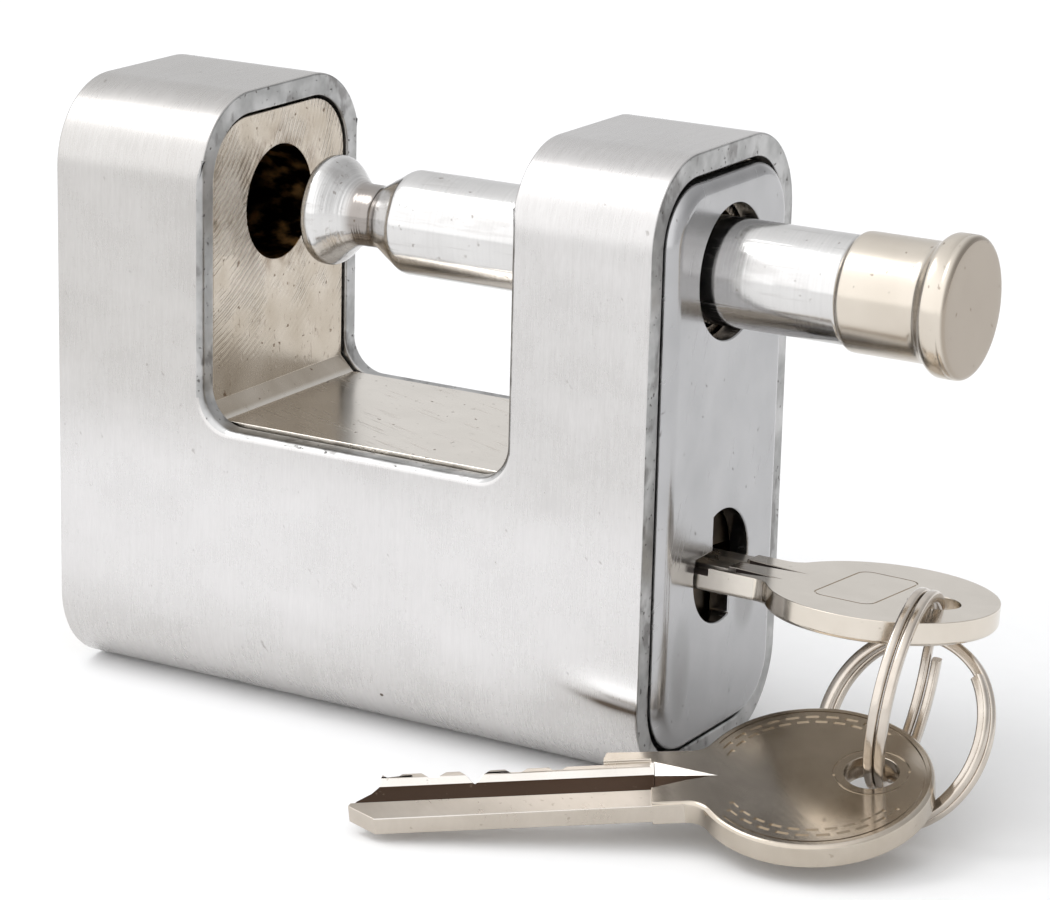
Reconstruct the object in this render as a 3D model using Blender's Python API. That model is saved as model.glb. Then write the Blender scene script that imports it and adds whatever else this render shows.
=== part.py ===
"""Sliding shackle padlock: a steel jacket around a plated brass body, a straight
bolt that slides through both legs of the body, and a key that turns a cam low
in the body. Metres, +Z up. X runs along the lock towards the key end, -Y is the
front face, and the origin is the middle of the flat bottom. The pieces stand as
in use: bolt half drawn out, key lying flat in the unlocked plug."""

import math

import bmesh
import bpy
from mathutils import Matrix, Vector

# Jacket and body
BODY_LENGTH = 0.0650
BODY_HEIGHT = 0.0588
BODY_DEPTH = 0.0274
CORNER_RADIUS = 0.0082
JACKET_WALL = 0.0022
LEFT_LEG = 0.0168
RIGHT_LEG = 0.0145
NOTCH_FLOOR = 0.0276
NOTCH_RADIUS = 0.0036
NOTCH_BEVEL = 0.0005
BODY_STEP = 0.0003
BODY_NOTCH_CHAMFER = 0.0015
LEFT_RECESS = 0.0004
END_RECESS = 0.0014

# Clearances
FIT_GAP = 0.0003
SEAT_GAP = 0.0001
CUT_MARGIN = 0.0010

# Sliding bolt
BOLT_BELOW_TOP = 0.0117
BOLT_RADIUS = 0.0050
BORE_RADIUS = 0.0056
BORE_WALL = 0.0013
BOLT_TIP_OUT = 0.0061
HEAD_RADIUS = 0.0053
HEAD_EDGE = 0.0006
HEAD_FLAT = 0.0012
WAIST_RADIUS = 0.0030
WAIST_OFFSET = 0.0052
WAIST_FLAT = 0.0007
BOLT_REACH = 0.0135
STUB_RADIUS = 0.0036
CAP_RADIUS = 0.0055
CAP_SLEEVE = 0.0080
FLANGE_RADIUS = 0.0065
FLANGE_THICKNESS = 0.0031
FLANGE_EDGE = 0.0006
FLANGE_FILLET = 0.0017
CAP_FLOOR = 0.0030

# End plate
PLATE_THICKNESS = 0.0021
PLATE_ROUNDING = 0.0014
PLATE_HOLE_RADIUS = 0.0063
KEYHOLE_RADIUS = 0.0054
KEYHOLE_SLOT = 0.0036
PLATE_PIN_RADIUS = 0.0010
PLATE_PIN_LENGTH = 0.0026
PLATE_PIN_DEPTH = 0.0011
PLATE_PIN_SHARE = 0.528302
PLATE_PIN_BELOW_PLUG = 0.0123

# Plug, pins and tailpiece
PLUG_HEIGHT = 0.0191
PLUG_RADIUS = 0.0065
PLUG_LENGTH = 0.0261
OPEN_TURN = math.radians(-6.0)
PIN_COUNT = 5
PIN_PITCH = 0.0037
PIN_START = 0.0041
PIN_RADIUS = 0.00145
DRIVER_LENGTH = 0.0042
SPRING_WIRE = 0.00018
SPRING_TURNS = 4
STRIP_THICKNESS = 0.0009
TAIL_BORE_RADIUS = 0.0058
TAIL_RADIUS = 0.0026
TAIL_SLOT_DEPTH = 0.0024
TONGUE_THICKNESS = 0.0020
CAM_RADIUS = 0.0055
CAM_THICKNESS = 0.0023
CRANK_RADIUS = 0.0035
CRANK_PIN_RADIUS = 0.0012
CRANK_PIN_LENGTH = 0.0036

# Locking pawl
PAWL_WIDTH = 0.0120
PAWL_THICKNESS = 0.0022
PAWL_BOTTOM = 0.0098
FORK_HALF = 0.0036
TINE_RISE = 0.0004
WINDOW_SLACK = 0.00045
PAWL_SPRING_RADIUS = 0.0019
PAWL_SPRING_WIRE = 0.00025
PAWL_SPRING_TURNS = 5

# Ball stop in the right leg
BALL_RADIUS = 0.0012
BALL_SPRING_RADIUS = 0.0008
BALL_SPRING_TURNS = 2

# Keys
TIP_PAST_PINS = 0.0038
BLADE_LENGTH = PIN_START + PIN_PITCH * (PIN_COUNT - 1) + TIP_PAST_PINS
BLADE_HALF = 0.00335
BLADE_RECESS = 0.00025
KEY_THICKNESS = 0.0022
TIP_HALF = 0.0012
TIP_TAPER = 0.0024
TIP_RISE = 0.0026
TIP_DROP = 0.0012
NECK_START = 0.0042
TAB_HALF = 0.0049
TAB_RUN = 0.0003
BOW_RADIUS = 0.0107
BOW_CENTRE = 0.0186
BOW_FILLET = 0.0020
KEY_SAG = math.radians(1.0)
KEY_HOLE_OFFSET = 0.0051
KEY_HOLE_RADIUS = 0.00245
GROOVE_DEPTH = 0.0007
GROOVE_WIDTH = 0.0008
WIDE_GROOVE_DEPTH = 0.0009
WIDE_GROOVE_WIDTH = 0.0031
WIDE_GROOVE_PLACE = 0.0008
GROOVE_END = 0.0100
CUT_DEPTHS = (0.0004, 0.0006, 0.0019, 0.0007, 0.0005)
CUT_FLAT = 0.0004

# Split rings, with the X of their centres counted from the plate's face
RING_RADIUS = 0.008793
RING_WIRE_WIDE = 0.00086
RING_WIRE_DEEP = 0.00110
RING_SPLIT_GAP = 0.00012
RING_CROSSING = math.radians(26.0)
FRONT_RING_PLACE = (0.022152, -0.006420, 0.013154)
FRONT_RING_AXIS = (math.radians(9.69), math.radians(-6.62))
FRONT_RING_START = math.radians(120.0)
BACK_RING_PLACE = (0.021439, -0.004746, 0.008776)
BACK_RING_AXIS = (math.radians(73.91), math.radians(-28.31))
BACK_RING_START = math.radians(20.0)

# Spare key, where its bow lies, also counted from the plate's face, and how it leans
SPARE_BOW_PLACE = (0.017366, -0.014277, 0.005647)
SPARE_TURN = (math.radians(28.89), math.radians(4.72), math.radians(14.65))

CIRCLE_STEPS = 32
CORNER_STEPS = 8

# Places worked out from the sizes above
LEFT_END = -BODY_LENGTH / 2
RIGHT_END = BODY_LENGTH / 2
BOLT_HEIGHT = BODY_HEIGHT - BOLT_BELOW_TOP
PLUG_TOP = PLUG_HEIGHT + PLUG_RADIUS
PLATE_PIN_UPPER = PLUG_TOP + PLATE_PIN_SHARE * (BOLT_HEIGHT - BORE_RADIUS - PLUG_TOP)
PLATE_PIN_LOWER = PLUG_HEIGHT - PLATE_PIN_BELOW_PLUG
NOTCH_LEFT = LEFT_END + LEFT_LEG
NOTCH_RIGHT = RIGHT_END - RIGHT_LEG
PLATE_BACK = RIGHT_END - END_RECESS + FIT_GAP
PLATE_FACE = PLATE_BACK + PLATE_THICKNESS
BODY_RIGHT = PLATE_BACK - FIT_GAP
BODY_LEFT = LEFT_END + LEFT_RECESS
BODY_BOTTOM = JACKET_WALL + FIT_GAP
BODY_TOP = BODY_HEIGHT - JACKET_WALL - FIT_GAP
BOLT_TIP = NOTCH_LEFT + BOLT_TIP_OUT
WAIST_CENTRE = BOLT_TIP + WAIST_OFFSET
CAP_START = PLATE_FACE + BOLT_REACH - SEAT_GAP * 8
CAP_END = CAP_START + CAP_SLEEVE + FLANGE_THICKNESS
FLANGE_BACK = CAP_START + CAP_SLEEVE
BOLT_IN = FLANGE_BACK - PLATE_FACE - FIT_GAP
BOLT_OUT = NOTCH_RIGHT + FIT_GAP - BOLT_TIP
PAWL_X = WAIST_CENTRE - BOLT_IN
BALL_X = WAIST_CENTRE + BOLT_OUT
PLUG_REAR = BODY_RIGHT - PLUG_LENGTH
SHOULDER_X = BODY_RIGHT + FIT_GAP
HALF_TURN = (math.pi / 2 - OPEN_TURN) / 2
PAWL_TRAVEL = 2 * CRANK_RADIUS * math.sin(HALF_TURN)
PAWL_SLOT_HALF = PAWL_THICKNESS / 2 + FIT_GAP
CAM_FACE = PAWL_X + PAWL_THICKNESS / 2 + 2 * FIT_GAP
CHAMBER_RADIUS = PIN_RADIUS + FIT_GAP
STRIP_HALF = CHAMBER_RADIUS + FIT_GAP
KEYWAY_HALF = KEY_THICKNESS / 2 - BLADE_RECESS + FIT_GAP


def material(name, colour, roughness, metallic=1.0):
    """A plain metal finish."""
    made = bpy.data.materials.new(name)
    made.use_nodes = True
    shader = made.node_tree.nodes["Principled BSDF"]
    shader.inputs["Base Color"].default_value = (*colour, 1.0)
    shader.inputs["Roughness"].default_value = roughness
    shader.inputs["Metallic"].default_value = metallic
    made.diffuse_color = (*colour, 1.0)
    return made


def finish(shape, name, parent=None):
    """Turn a bmesh into an object with outward faces and crisp or smooth edges."""
    bmesh.ops.recalc_face_normals(shape, faces=shape.faces)
    mesh = bpy.data.meshes.new(name)
    shape.to_mesh(mesh)
    shape.free()
    mesh.shade_smooth()
    mesh.set_sharp_from_angle(angle=math.radians(32.0))
    made = bpy.data.objects.new(name, mesh)
    bpy.context.collection.objects.link(made)
    made.parent = parent
    return made


def joint_empty(name, place, turn=0.0):
    """An empty on a joint's axis that carries the pieces that move with it."""
    made = bpy.data.objects.new(name, None)
    made.empty_display_size = 0.01
    made.location = place
    made.rotation_euler = (turn, 0.0, 0.0)
    bpy.context.collection.objects.link(made)
    return made


def arc(centre, radius, start, end, steps):
    """Points on an arc, angles in degrees."""
    points = []
    for step in range(steps + 1):
        angle = math.radians(start + (end - start) * step / steps)
        points.append((centre[0] + radius * math.cos(angle), centre[1] + radius * math.sin(angle)))
    return points


def loft(loops):
    """A closed solid through loops of equal length, flat at both ends."""
    shape = bmesh.new()
    rows = [[shape.verts.new(point) for point in loop] for loop in loops]
    count = len(rows[0])
    for low, high in zip(rows, rows[1:]):
        for index in range(count):
            after = (index + 1) % count
            shape.faces.new((low[index], low[after], high[after], high[index]))
    shape.faces.new(rows[0])
    shape.faces.new(rows[-1])
    return shape


def along_x(outline, low, high):
    """Extrude a (y, z) outline from x = low to x = high."""
    return loft([[(x, y, z) for y, z in outline] for x in (low, high)])


def along_y(outline, low, high):
    """Extrude an (x, z) outline from y = low to y = high."""
    return loft([[(x, y, z) for x, z in outline] for y in (low, high)])


def along_z(outline, low, high):
    """Extrude an (x, y) outline from z = low to z = high."""
    return loft([[(x, y, z) for x, y in outline] for z in (low, high)])


def turned(profile, steps=CIRCLE_STEPS):
    """Turn an (x, radius) profile, which starts and ends on the X axis."""
    shape = bmesh.new()
    rows = []
    for x, radius in profile[1:-1]:
        row = []
        for step in range(steps):
            angle = 2 * math.pi * step / steps
            row.append(shape.verts.new((x, radius * math.cos(angle), radius * math.sin(angle))))
        rows.append(row)
    for low, high in zip(rows, rows[1:]):
        for step in range(steps):
            after = (step + 1) % steps
            shape.faces.new((low[step], low[after], high[after], high[step]))
    for row, x in ((rows[0], profile[0][0]), (rows[-1], profile[-1][0])):
        pole = shape.verts.new((x, 0.0, 0.0))
        for step in range(steps):
            shape.faces.new((row[step], row[(step + 1) % steps], pole))
    return shape


def rod(low, high, radius, steps=CIRCLE_STEPS):
    """A plain cylinder along X."""
    return turned([(low, 0.0), (low, radius), (high, radius), (high, 0.0)], steps)


def block(low, high):
    """A box between two corners."""
    outline = [(low[1], low[2]), (high[1], low[2]), (high[1], high[2]), (low[1], high[2])]
    return along_x(outline, low[0], high[0])


def tube(rings):
    """Close a list of equal rings of points into one solid."""
    return loft(rings)


def coil(radius, wire, height, turns, steps=12, sides=6):
    """A compression spring that stands on z = 0."""
    rings = []
    rise = height - 2 * wire
    count = turns * steps
    for step in range(count + 1):
        angle = 2 * math.pi * step / steps
        out = Vector((math.cos(angle), math.sin(angle), 0.0))
        centre = out * radius + Vector((0.0, 0.0, wire + rise * step / count))
        ring = []
        for side in range(sides):
            turn = 2 * math.pi * side / sides
            ring.append(centre + out * (wire * math.cos(turn)) + Vector((0.0, 0.0, wire * math.sin(turn))))
        rings.append(ring)
    return tube(rings)


def cutter(shape, name, parent=None):
    """A hidden tool for a Boolean."""
    made = finish(shape, name, parent)
    made.hide_render = True
    made.display_type = "WIRE"
    return made


def combine(target, tools, operation, name):
    """Cut the tools out of the target, or join them to it, in one Boolean."""
    group = bpy.data.collections.new(name)
    bpy.context.scene.collection.children.link(group)
    for tool in tools:
        bpy.context.collection.objects.unlink(tool)
        group.objects.link(tool)
    step = target.modifiers.new(name, "BOOLEAN")
    step.operation = operation
    step.solver = "EXACT"
    step.operand_type = "COLLECTION"
    step.collection = group


def cut(target, tools):
    """Take the tools' shapes out of the target."""
    combine(target, tools, "DIFFERENCE", target.name + "_cuts")


def dress(target, finish_material):
    """Give a piece its one material."""
    target.data.materials.append(finish_material)
    return target


def rounded_section(inset):
    """The (y, z) outline of the lock's long shape, drawn in by an inset."""
    half = BODY_DEPTH / 2 - inset
    radius = CORNER_RADIUS - inset
    low = inset + radius
    high = BODY_HEIGHT - inset - radius
    side = half - radius
    points = arc((side, low), radius, -90.0, 0.0, CORNER_STEPS)
    points += arc((side, high), radius, 0.0, 90.0, CORNER_STEPS)
    points += arc((-side, high), radius, 90.0, 180.0, CORNER_STEPS)
    points += arc((-side, low), radius, 180.0, 270.0, CORNER_STEPS)
    return points


def notch_outline(grow):
    """The (x, z) outline of the opening between the legs, open above the top."""
    radius = NOTCH_RADIUS + grow
    left = NOTCH_LEFT - grow
    right = NOTCH_RIGHT + grow
    floor = NOTCH_FLOOR - grow
    top = BODY_HEIGHT + CUT_MARGIN
    points = [(left, top)]
    points += arc((left + radius, floor + radius), radius, 180.0, 270.0, CORNER_STEPS)
    points += arc((right - radius, floor + radius), radius, 270.0, 360.0, CORNER_STEPS)
    points += [(right, top)]
    return points


def make_jacket(steel):
    jacket = finish(along_x(rounded_section(0.0), LEFT_END, RIGHT_END), "jacket")
    hollow = along_x(rounded_section(JACKET_WALL), LEFT_END - CUT_MARGIN, RIGHT_END + CUT_MARGIN)
    inside = cutter(hollow, "cut_jacket_inside")
    reach = BODY_DEPTH / 2 + CUT_MARGIN
    notch = cutter(along_y(notch_outline(0.0), -reach, reach), "cut_jacket_notch")
    tools = [inside, notch]
    for side, word in ((-1.0, "front"), (1.0, "rear")):
        outer = side * (BODY_DEPTH / 2 + NOTCH_BEVEL)
        inner = side * (BODY_DEPTH / 2 - NOTCH_BEVEL)
        loops = [
            [(x, outer, z) for x, z in notch_outline(2 * NOTCH_BEVEL)],
            [(x, inner, z) for x, z in notch_outline(0.0)],
        ]
        tools.append(cutter(loft(loops), "cut_notch_bevel_" + word))
    cut(jacket, tools)
    return dress(jacket, steel)


def body_notch_outline():
    """The notch in the brass body: a flat floor with 45 degree corners."""
    left = NOTCH_LEFT - BODY_STEP
    right = NOTCH_RIGHT + BODY_STEP
    floor = NOTCH_FLOOR + BODY_STEP
    top = BODY_HEIGHT
    chamfer = BODY_NOTCH_CHAMFER
    return [
        (left, top),
        (left, floor + chamfer),
        (left + chamfer, floor),
        (right - chamfer, floor),
        (right, floor + chamfer),
        (right, top),
    ]


def pin_places():
    """X of each pin chamber, from the key end inwards."""
    return [SHOULDER_X - PIN_START - PIN_PITCH * index for index in range(PIN_COUNT)]


def make_lock_body(brass):
    body = finish(along_x(rounded_section(JACKET_WALL + FIT_GAP), BODY_LEFT, BODY_RIGHT), "lock_body")
    tools = [cutter(along_y(body_notch_outline(), -BODY_DEPTH, BODY_DEPTH), "cut_body_notch")]
    bore_end = BODY_LEFT + BORE_WALL - FIT_GAP
    bore = cutter(rod(bore_end, BODY_RIGHT + CUT_MARGIN, BORE_RADIUS), "cut_bolt_bore")
    bore.location.z = BOLT_HEIGHT
    tools.append(bore)
    plug_bore = cutter(
        rod(PLUG_REAR - FIT_GAP, BODY_RIGHT + CUT_MARGIN, PLUG_RADIUS + FIT_GAP), "cut_plug_bore"
    )
    plug_bore.location.z = PLUG_HEIGHT
    tools.append(plug_bore)
    tail_end = PAWL_X - CRANK_PIN_LENGTH
    tail_bore = cutter(rod(tail_end, PLUG_REAR + CUT_MARGIN, TAIL_BORE_RADIUS), "cut_tail_bore")
    tail_bore.location.z = PLUG_HEIGHT
    tools.append(tail_bore)
    for index, place in enumerate(pin_places()):
        chamber = cutter(rod(0.0, PLUG_HEIGHT, CHAMBER_RADIUS, 16), "cut_chamber_%d" % (index + 1))
        chamber.location = (place, 0.0, PLUG_HEIGHT)
        chamber.rotation_euler.y = math.pi / 2
        tools.append(chamber)
    strip_low, strip_high = strip_ends()
    tools.append(
        cutter(
            block(
                (strip_low - FIT_GAP, -STRIP_HALF - FIT_GAP, BODY_BOTTOM - CUT_MARGIN),
                (strip_high + FIT_GAP, STRIP_HALF + FIT_GAP, BODY_BOTTOM + STRIP_THICKNESS + FIT_GAP),
            ),
            "cut_strip_groove",
        )
    )
    slot_half = PAWL_WIDTH / 2 + FIT_GAP
    slot_top = BOLT_HEIGHT + TINE_RISE + 2 * FIT_GAP
    slot = block(
        (PAWL_X - PAWL_SLOT_HALF, -slot_half, BODY_BOTTOM - CUT_MARGIN),
        (PAWL_X + PAWL_SLOT_HALF, slot_half, slot_top),
    )
    tools.append(cutter(slot, "cut_pawl_slot"))
    pocket_radius = PAWL_SPRING_RADIUS + PAWL_SPRING_WIRE + FIT_GAP
    pocket = cutter(rod(-PAWL_BOTTOM, 0.0, pocket_radius, 20), "cut_pawl_spring_pocket")
    pocket.location = (PAWL_X, 0.0, 0.0)
    pocket.rotation_euler.y = math.pi / 2
    tools.append(pocket)
    ball_hole = cutter(rod(-BODY_HEIGHT, -BOLT_HEIGHT, BALL_RADIUS + FIT_GAP, 16), "cut_ball_hole")
    ball_hole.location = (BALL_X, 0.0, 0.0)
    ball_hole.rotation_euler.y = math.pi / 2
    tools.append(ball_hole)
    for height, word in ((PLATE_PIN_UPPER, "upper"), (PLATE_PIN_LOWER, "lower")):
        low = PLATE_BACK + PLATE_PIN_DEPTH - PLATE_PIN_LENGTH
        drill = rod(low - FIT_GAP, BODY_RIGHT + CUT_MARGIN, PLATE_PIN_RADIUS + FIT_GAP, 16)
        hole = cutter(drill, "cut_pin_hole_" + word)
        hole.location.z = height
        tools.append(hole)
    cut(body, tools)
    return dress(body, brass)


def keyhole_outline():
    """The plate's S-shaped keyhole: the key's neck swept through a quarter turn."""
    slot = KEYHOLE_SLOT / 2
    edge = math.degrees(math.asin(slot / KEYHOLE_RADIUS))
    upper = arc((0.0, 0.0), KEYHOLE_RADIUS, -edge, 90.0 + edge, 16)
    lower = arc((0.0, 0.0), KEYHOLE_RADIUS, 180.0 - edge, 270.0 + edge, 16)
    return upper + [(-slot, slot)] + lower + [(slot, -slot)]


def make_end_plate(steel):
    """A hardened plate with a pillowed rim, a round bolt hole and the keyhole."""
    steps = 5
    loops = []
    base = JACKET_WALL + FIT_GAP
    straight = PLATE_THICKNESS - PLATE_ROUNDING
    loops.append([(PLATE_BACK, y, z) for y, z in rounded_section(base)])
    for step in range(steps + 1):
        angle = math.pi / 2 * step / steps
        x = PLATE_BACK + straight + PLATE_ROUNDING * math.sin(angle)
        inset = base + PLATE_ROUNDING * (1.0 - math.cos(angle))
        loops.append([(x, y, z) for y, z in rounded_section(inset)])
    plate = finish(loft(loops), "end_plate")
    low = PLATE_BACK - CUT_MARGIN
    high = PLATE_FACE + CUT_MARGIN
    hole = cutter(rod(low, high, PLATE_HOLE_RADIUS), "cut_plate_bolt_hole")
    hole.location.z = BOLT_HEIGHT
    keyhole = cutter(along_x(keyhole_outline(), low, high), "cut_keyhole")
    keyhole.location.z = PLUG_HEIGHT
    tools = [hole, keyhole]
    for height, word in ((PLATE_PIN_UPPER, "upper"), (PLATE_PIN_LOWER, "lower")):
        blind = cutter(
            rod(low, PLATE_BACK + PLATE_PIN_DEPTH + FIT_GAP, PLATE_PIN_RADIUS + FIT_GAP, 16),
            "cut_plate_blind_" + word,
        )
        blind.location.z = height
        tools.append(blind)
    cut(plate, tools)
    return dress(plate, steel)


def make_plate_pins(steel):
    high = PLATE_BACK + PLATE_PIN_DEPTH
    for height, word in ((PLATE_PIN_UPPER, "upper"), (PLATE_PIN_LOWER, "lower")):
        pin = finish(rod(high - PLATE_PIN_LENGTH, high, PLATE_PIN_RADIUS, 16), "plate_pin_" + word)
        pin.location.z = height
        dress(pin, steel)


def bolt_profile():
    """The bolt from its flared head to the stub inside the cap, x from the head."""
    points = [(0.0, 0.0), (0.0, HEAD_RADIUS - HEAD_EDGE)]
    points += [(HEAD_EDGE * 0.4, HEAD_RADIUS - HEAD_EDGE * 0.3), (HEAD_EDGE, HEAD_RADIUS)]
    neck_start = WAIST_OFFSET - WAIST_FLAT
    neck_end = WAIST_OFFSET + WAIST_FLAT
    steps = 9
    for step in range(steps + 1):
        share = step / steps
        swell = 0.5 + 0.5 * math.cos(math.pi * share ** 0.87)
        x = HEAD_FLAT + (neck_start - HEAD_FLAT) * share
        points.append((x, WAIST_RADIUS + (HEAD_RADIUS - WAIST_RADIUS) * swell))
    points.append((neck_end, WAIST_RADIUS))
    step = BOLT_RADIUS - WAIST_RADIUS
    ramp = 1.75 * step
    points.append((neck_end + 0.25 * ramp, WAIST_RADIUS + 0.10 * step))
    points.append((neck_end + 0.95 * ramp, BOLT_RADIUS - 0.08 * step))
    points.append((neck_end + 1.10 * ramp, BOLT_RADIUS))
    shoulder = CAP_START - SEAT_GAP - BOLT_TIP
    points += [(shoulder, BOLT_RADIUS), (shoulder, STUB_RADIUS)]
    stub_end = CAP_END - CAP_FLOOR - SEAT_GAP - BOLT_TIP
    points += [(stub_end, STUB_RADIUS), (stub_end, 0.0)]
    return points


def make_bolt(steel, parent):
    bolt = finish(turned(bolt_profile()), "shackle_bolt", parent)
    bolt.location.x = BOLT_TIP
    return dress(bolt, steel)


def make_cap(nickel, parent):
    """The handle on the bolt's outer end: a sleeve with a round flange."""
    edge = FLANGE_EDGE
    bore = STUB_RADIUS + SEAT_GAP
    depth = CAP_END - CAP_FLOOR - CAP_START
    points = [(depth, 0.0), (depth, bore), (0.0, bore), (0.0, CAP_RADIUS - edge)]
    points += [(edge * 0.3, CAP_RADIUS - edge * 0.3), (edge, CAP_RADIUS)]
    start = CAP_SLEEVE - edge
    steps = 8
    for step in range(steps + 1):
        share = step / steps
        rise = 0.5 - 0.5 * math.cos(math.pi * share)
        radius = CAP_RADIUS + (FLANGE_RADIUS - CAP_RADIUS) * rise
        points.append((start + FLANGE_FILLET * share, radius))
    end = CAP_SLEEVE + FLANGE_THICKNESS
    points += [(end - edge, FLANGE_RADIUS), (end - 0.3 * edge, FLANGE_RADIUS - 0.3 * edge)]
    points += [(end, FLANGE_RADIUS - edge), (end, 0.0)]
    cap = finish(turned(points), "bolt_cap", parent)
    cap.location.x = CAP_START
    return dress(cap, nickel)


def make_plug(brass, parent):
    """The rotating plug, with its keyway open on the side away from the pins."""
    plug = finish(rod(PLUG_REAR, BODY_RIGHT, PLUG_RADIUS), "plug", parent)
    tip = SHOULDER_X - BLADE_LENGTH
    keyway = block(
        (tip - FIT_GAP, -BLADE_HALF - FIT_GAP, -KEYWAY_HALF),
        (BODY_RIGHT + CUT_MARGIN, PLUG_RADIUS + CUT_MARGIN, KEYWAY_HALF),
    )
    slot = block(
        (PLUG_REAR - CUT_MARGIN, -PLUG_RADIUS - CUT_MARGIN, -TONGUE_THICKNESS / 2 - FIT_GAP),
        (PLUG_REAR + TAIL_SLOT_DEPTH, PLUG_RADIUS + CUT_MARGIN, TONGUE_THICKNESS / 2 + FIT_GAP),
    )
    tools = [cutter(keyway, "cut_keyway", parent), cutter(slot, "cut_tail_slot", parent)]
    for index, place in enumerate(pin_places()):
        drill = rod(KEYWAY_HALF, PLUG_RADIUS + CUT_MARGIN, CHAMBER_RADIUS, 16)
        hole = cutter(drill, "cut_plug_hole_%d" % (index + 1), parent)
        hole.location.x = place
        hole.rotation_euler.z = -math.pi / 2
        tools.append(hole)
    cut(plug, tools)
    return dress(plug, brass)


def make_key_pins(brass, parent):
    """Each pin reaches from its cut in the key to the plug's surface."""
    for index, place in enumerate(pin_places()):
        root = BLADE_HALF - CUT_DEPTHS[index] + FIT_GAP
        outer = math.sqrt(PLUG_RADIUS ** 2 - PIN_RADIUS ** 2)
        cone = 0.6 * PIN_RADIUS
        profile = [(root, 0.0), (root, CUT_FLAT), (root + cone, PIN_RADIUS)]
        profile += [(outer, PIN_RADIUS), (outer, 0.0)]
        pin = finish(turned(profile, 16), "key_pin_%d" % (index + 1), parent)
        pin.location.x = place
        pin.rotation_euler.z = -math.pi / 2
        dress(pin, brass)


def strip_ends():
    places = pin_places()
    return places[-1] - STRIP_HALF, places[0] + STRIP_HALF


def make_driver_stacks(brass, steel):
    """Driver pins and their springs wait in the chambers below the plug."""
    top = PLUG_HEIGHT - PLUG_RADIUS - FIT_GAP
    floor = BODY_BOTTOM + STRIP_THICKNESS
    spring_height = top - DRIVER_LENGTH - floor - 2 * SEAT_GAP
    for index, place in enumerate(pin_places()):
        driver = finish(rod(top - DRIVER_LENGTH, top, PIN_RADIUS, 16), "driver_pin_%d" % (index + 1))
        driver.rotation_euler.y = -math.pi / 2
        driver.location.x = place
        dress(driver, brass)
        shape = coil(PIN_RADIUS - 2 * SPRING_WIRE, SPRING_WIRE, spring_height, SPRING_TURNS)
        spring = finish(shape, "pin_spring_%d" % (index + 1))
        spring.location = (place, 0.0, floor + SEAT_GAP)
        dress(spring, steel)


def make_chamber_strip(brass):
    low, high = strip_ends()
    shape = block((low, -STRIP_HALF, BODY_BOTTOM), (high, STRIP_HALF, BODY_BOTTOM + STRIP_THICKNESS))
    return dress(finish(shape, "chamber_strip"), brass)


def make_tailpiece(steel, parent):
    """Carries the plug's turn to the left leg and cranks the pawl there."""
    radius_in = TAIL_BORE_RADIUS - FIT_GAP
    cam_back = CAM_FACE + CAM_THICKNESS
    front = PLUG_REAR - FIT_GAP
    profile = [(CAM_FACE, 0.0), (CAM_FACE, CAM_RADIUS), (cam_back, CAM_RADIUS), (cam_back, TAIL_RADIUS)]
    profile += [(front, TAIL_RADIUS), (front, 0.0)]
    tail = finish(turned(profile, 24), "tailpiece", parent)
    tongue = block(
        (front - TAIL_RADIUS, -radius_in * 0.8, -TONGUE_THICKNESS / 2),
        (PLUG_REAR + TAIL_SLOT_DEPTH - FIT_GAP, radius_in * 0.8, TONGUE_THICKNESS / 2),
    )
    crank = rod(PAWL_X - CRANK_PIN_LENGTH + 2 * FIT_GAP, CAM_FACE + CAM_THICKNESS / 2, CRANK_PIN_RADIUS, 16)
    angle = -HALF_TURN - OPEN_TURN
    joined = [cutter(tongue, "join_tongue", parent), cutter(crank, "join_crank_pin", parent)]
    joined[1].location = (0.0, CRANK_RADIUS * math.cos(angle), CRANK_RADIUS * math.sin(angle))
    combine(tail, joined, "UNION", "tailpiece_joined")
    return dress(tail, steel)


def pawl_outline():
    """The fork that rises around the bolt's waist, seen along the bolt, lowered."""
    half = PAWL_WIDTH / 2
    seat = BOLT_HEIGHT - PAWL_TRAVEL
    top = seat + TINE_RISE
    points = [(-half, PAWL_BOTTOM), (half, PAWL_BOTTOM), (half, top), (FORK_HALF, top)]
    points += arc((0.0, seat), FORK_HALF, 0.0, -180.0, 12)
    points += [(-FORK_HALF, top), (-half, top)]
    return points


def make_pawl(steel, parent):
    half = PAWL_THICKNESS / 2
    pawl = finish(along_x(pawl_outline(), -half, half), "locking_pawl", parent)
    height = PLUG_HEIGHT - CRANK_RADIUS * math.sin(HALF_TURN)
    near = CRANK_RADIUS * math.cos(HALF_TURN) - CRANK_PIN_RADIUS - WINDOW_SLACK
    far = CRANK_RADIUS + CRANK_PIN_RADIUS + WINDOW_SLACK
    reach = CRANK_PIN_RADIUS + WINDOW_SLACK
    window = block((-2 * half, near, height - reach), (2 * half, far, height + reach))
    cut(pawl, [cutter(window, "cut_pawl_window", parent)])
    return dress(pawl, steel)


def make_pawl_spring(steel):
    low = JACKET_WALL + SEAT_GAP
    shape = coil(PAWL_SPRING_RADIUS, PAWL_SPRING_WIRE, PAWL_BOTTOM - SEAT_GAP - low, PAWL_SPRING_TURNS)
    spring = finish(shape, "pawl_spring")
    spring.location = (PAWL_X, 0.0, low)
    return dress(spring, steel)


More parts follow.
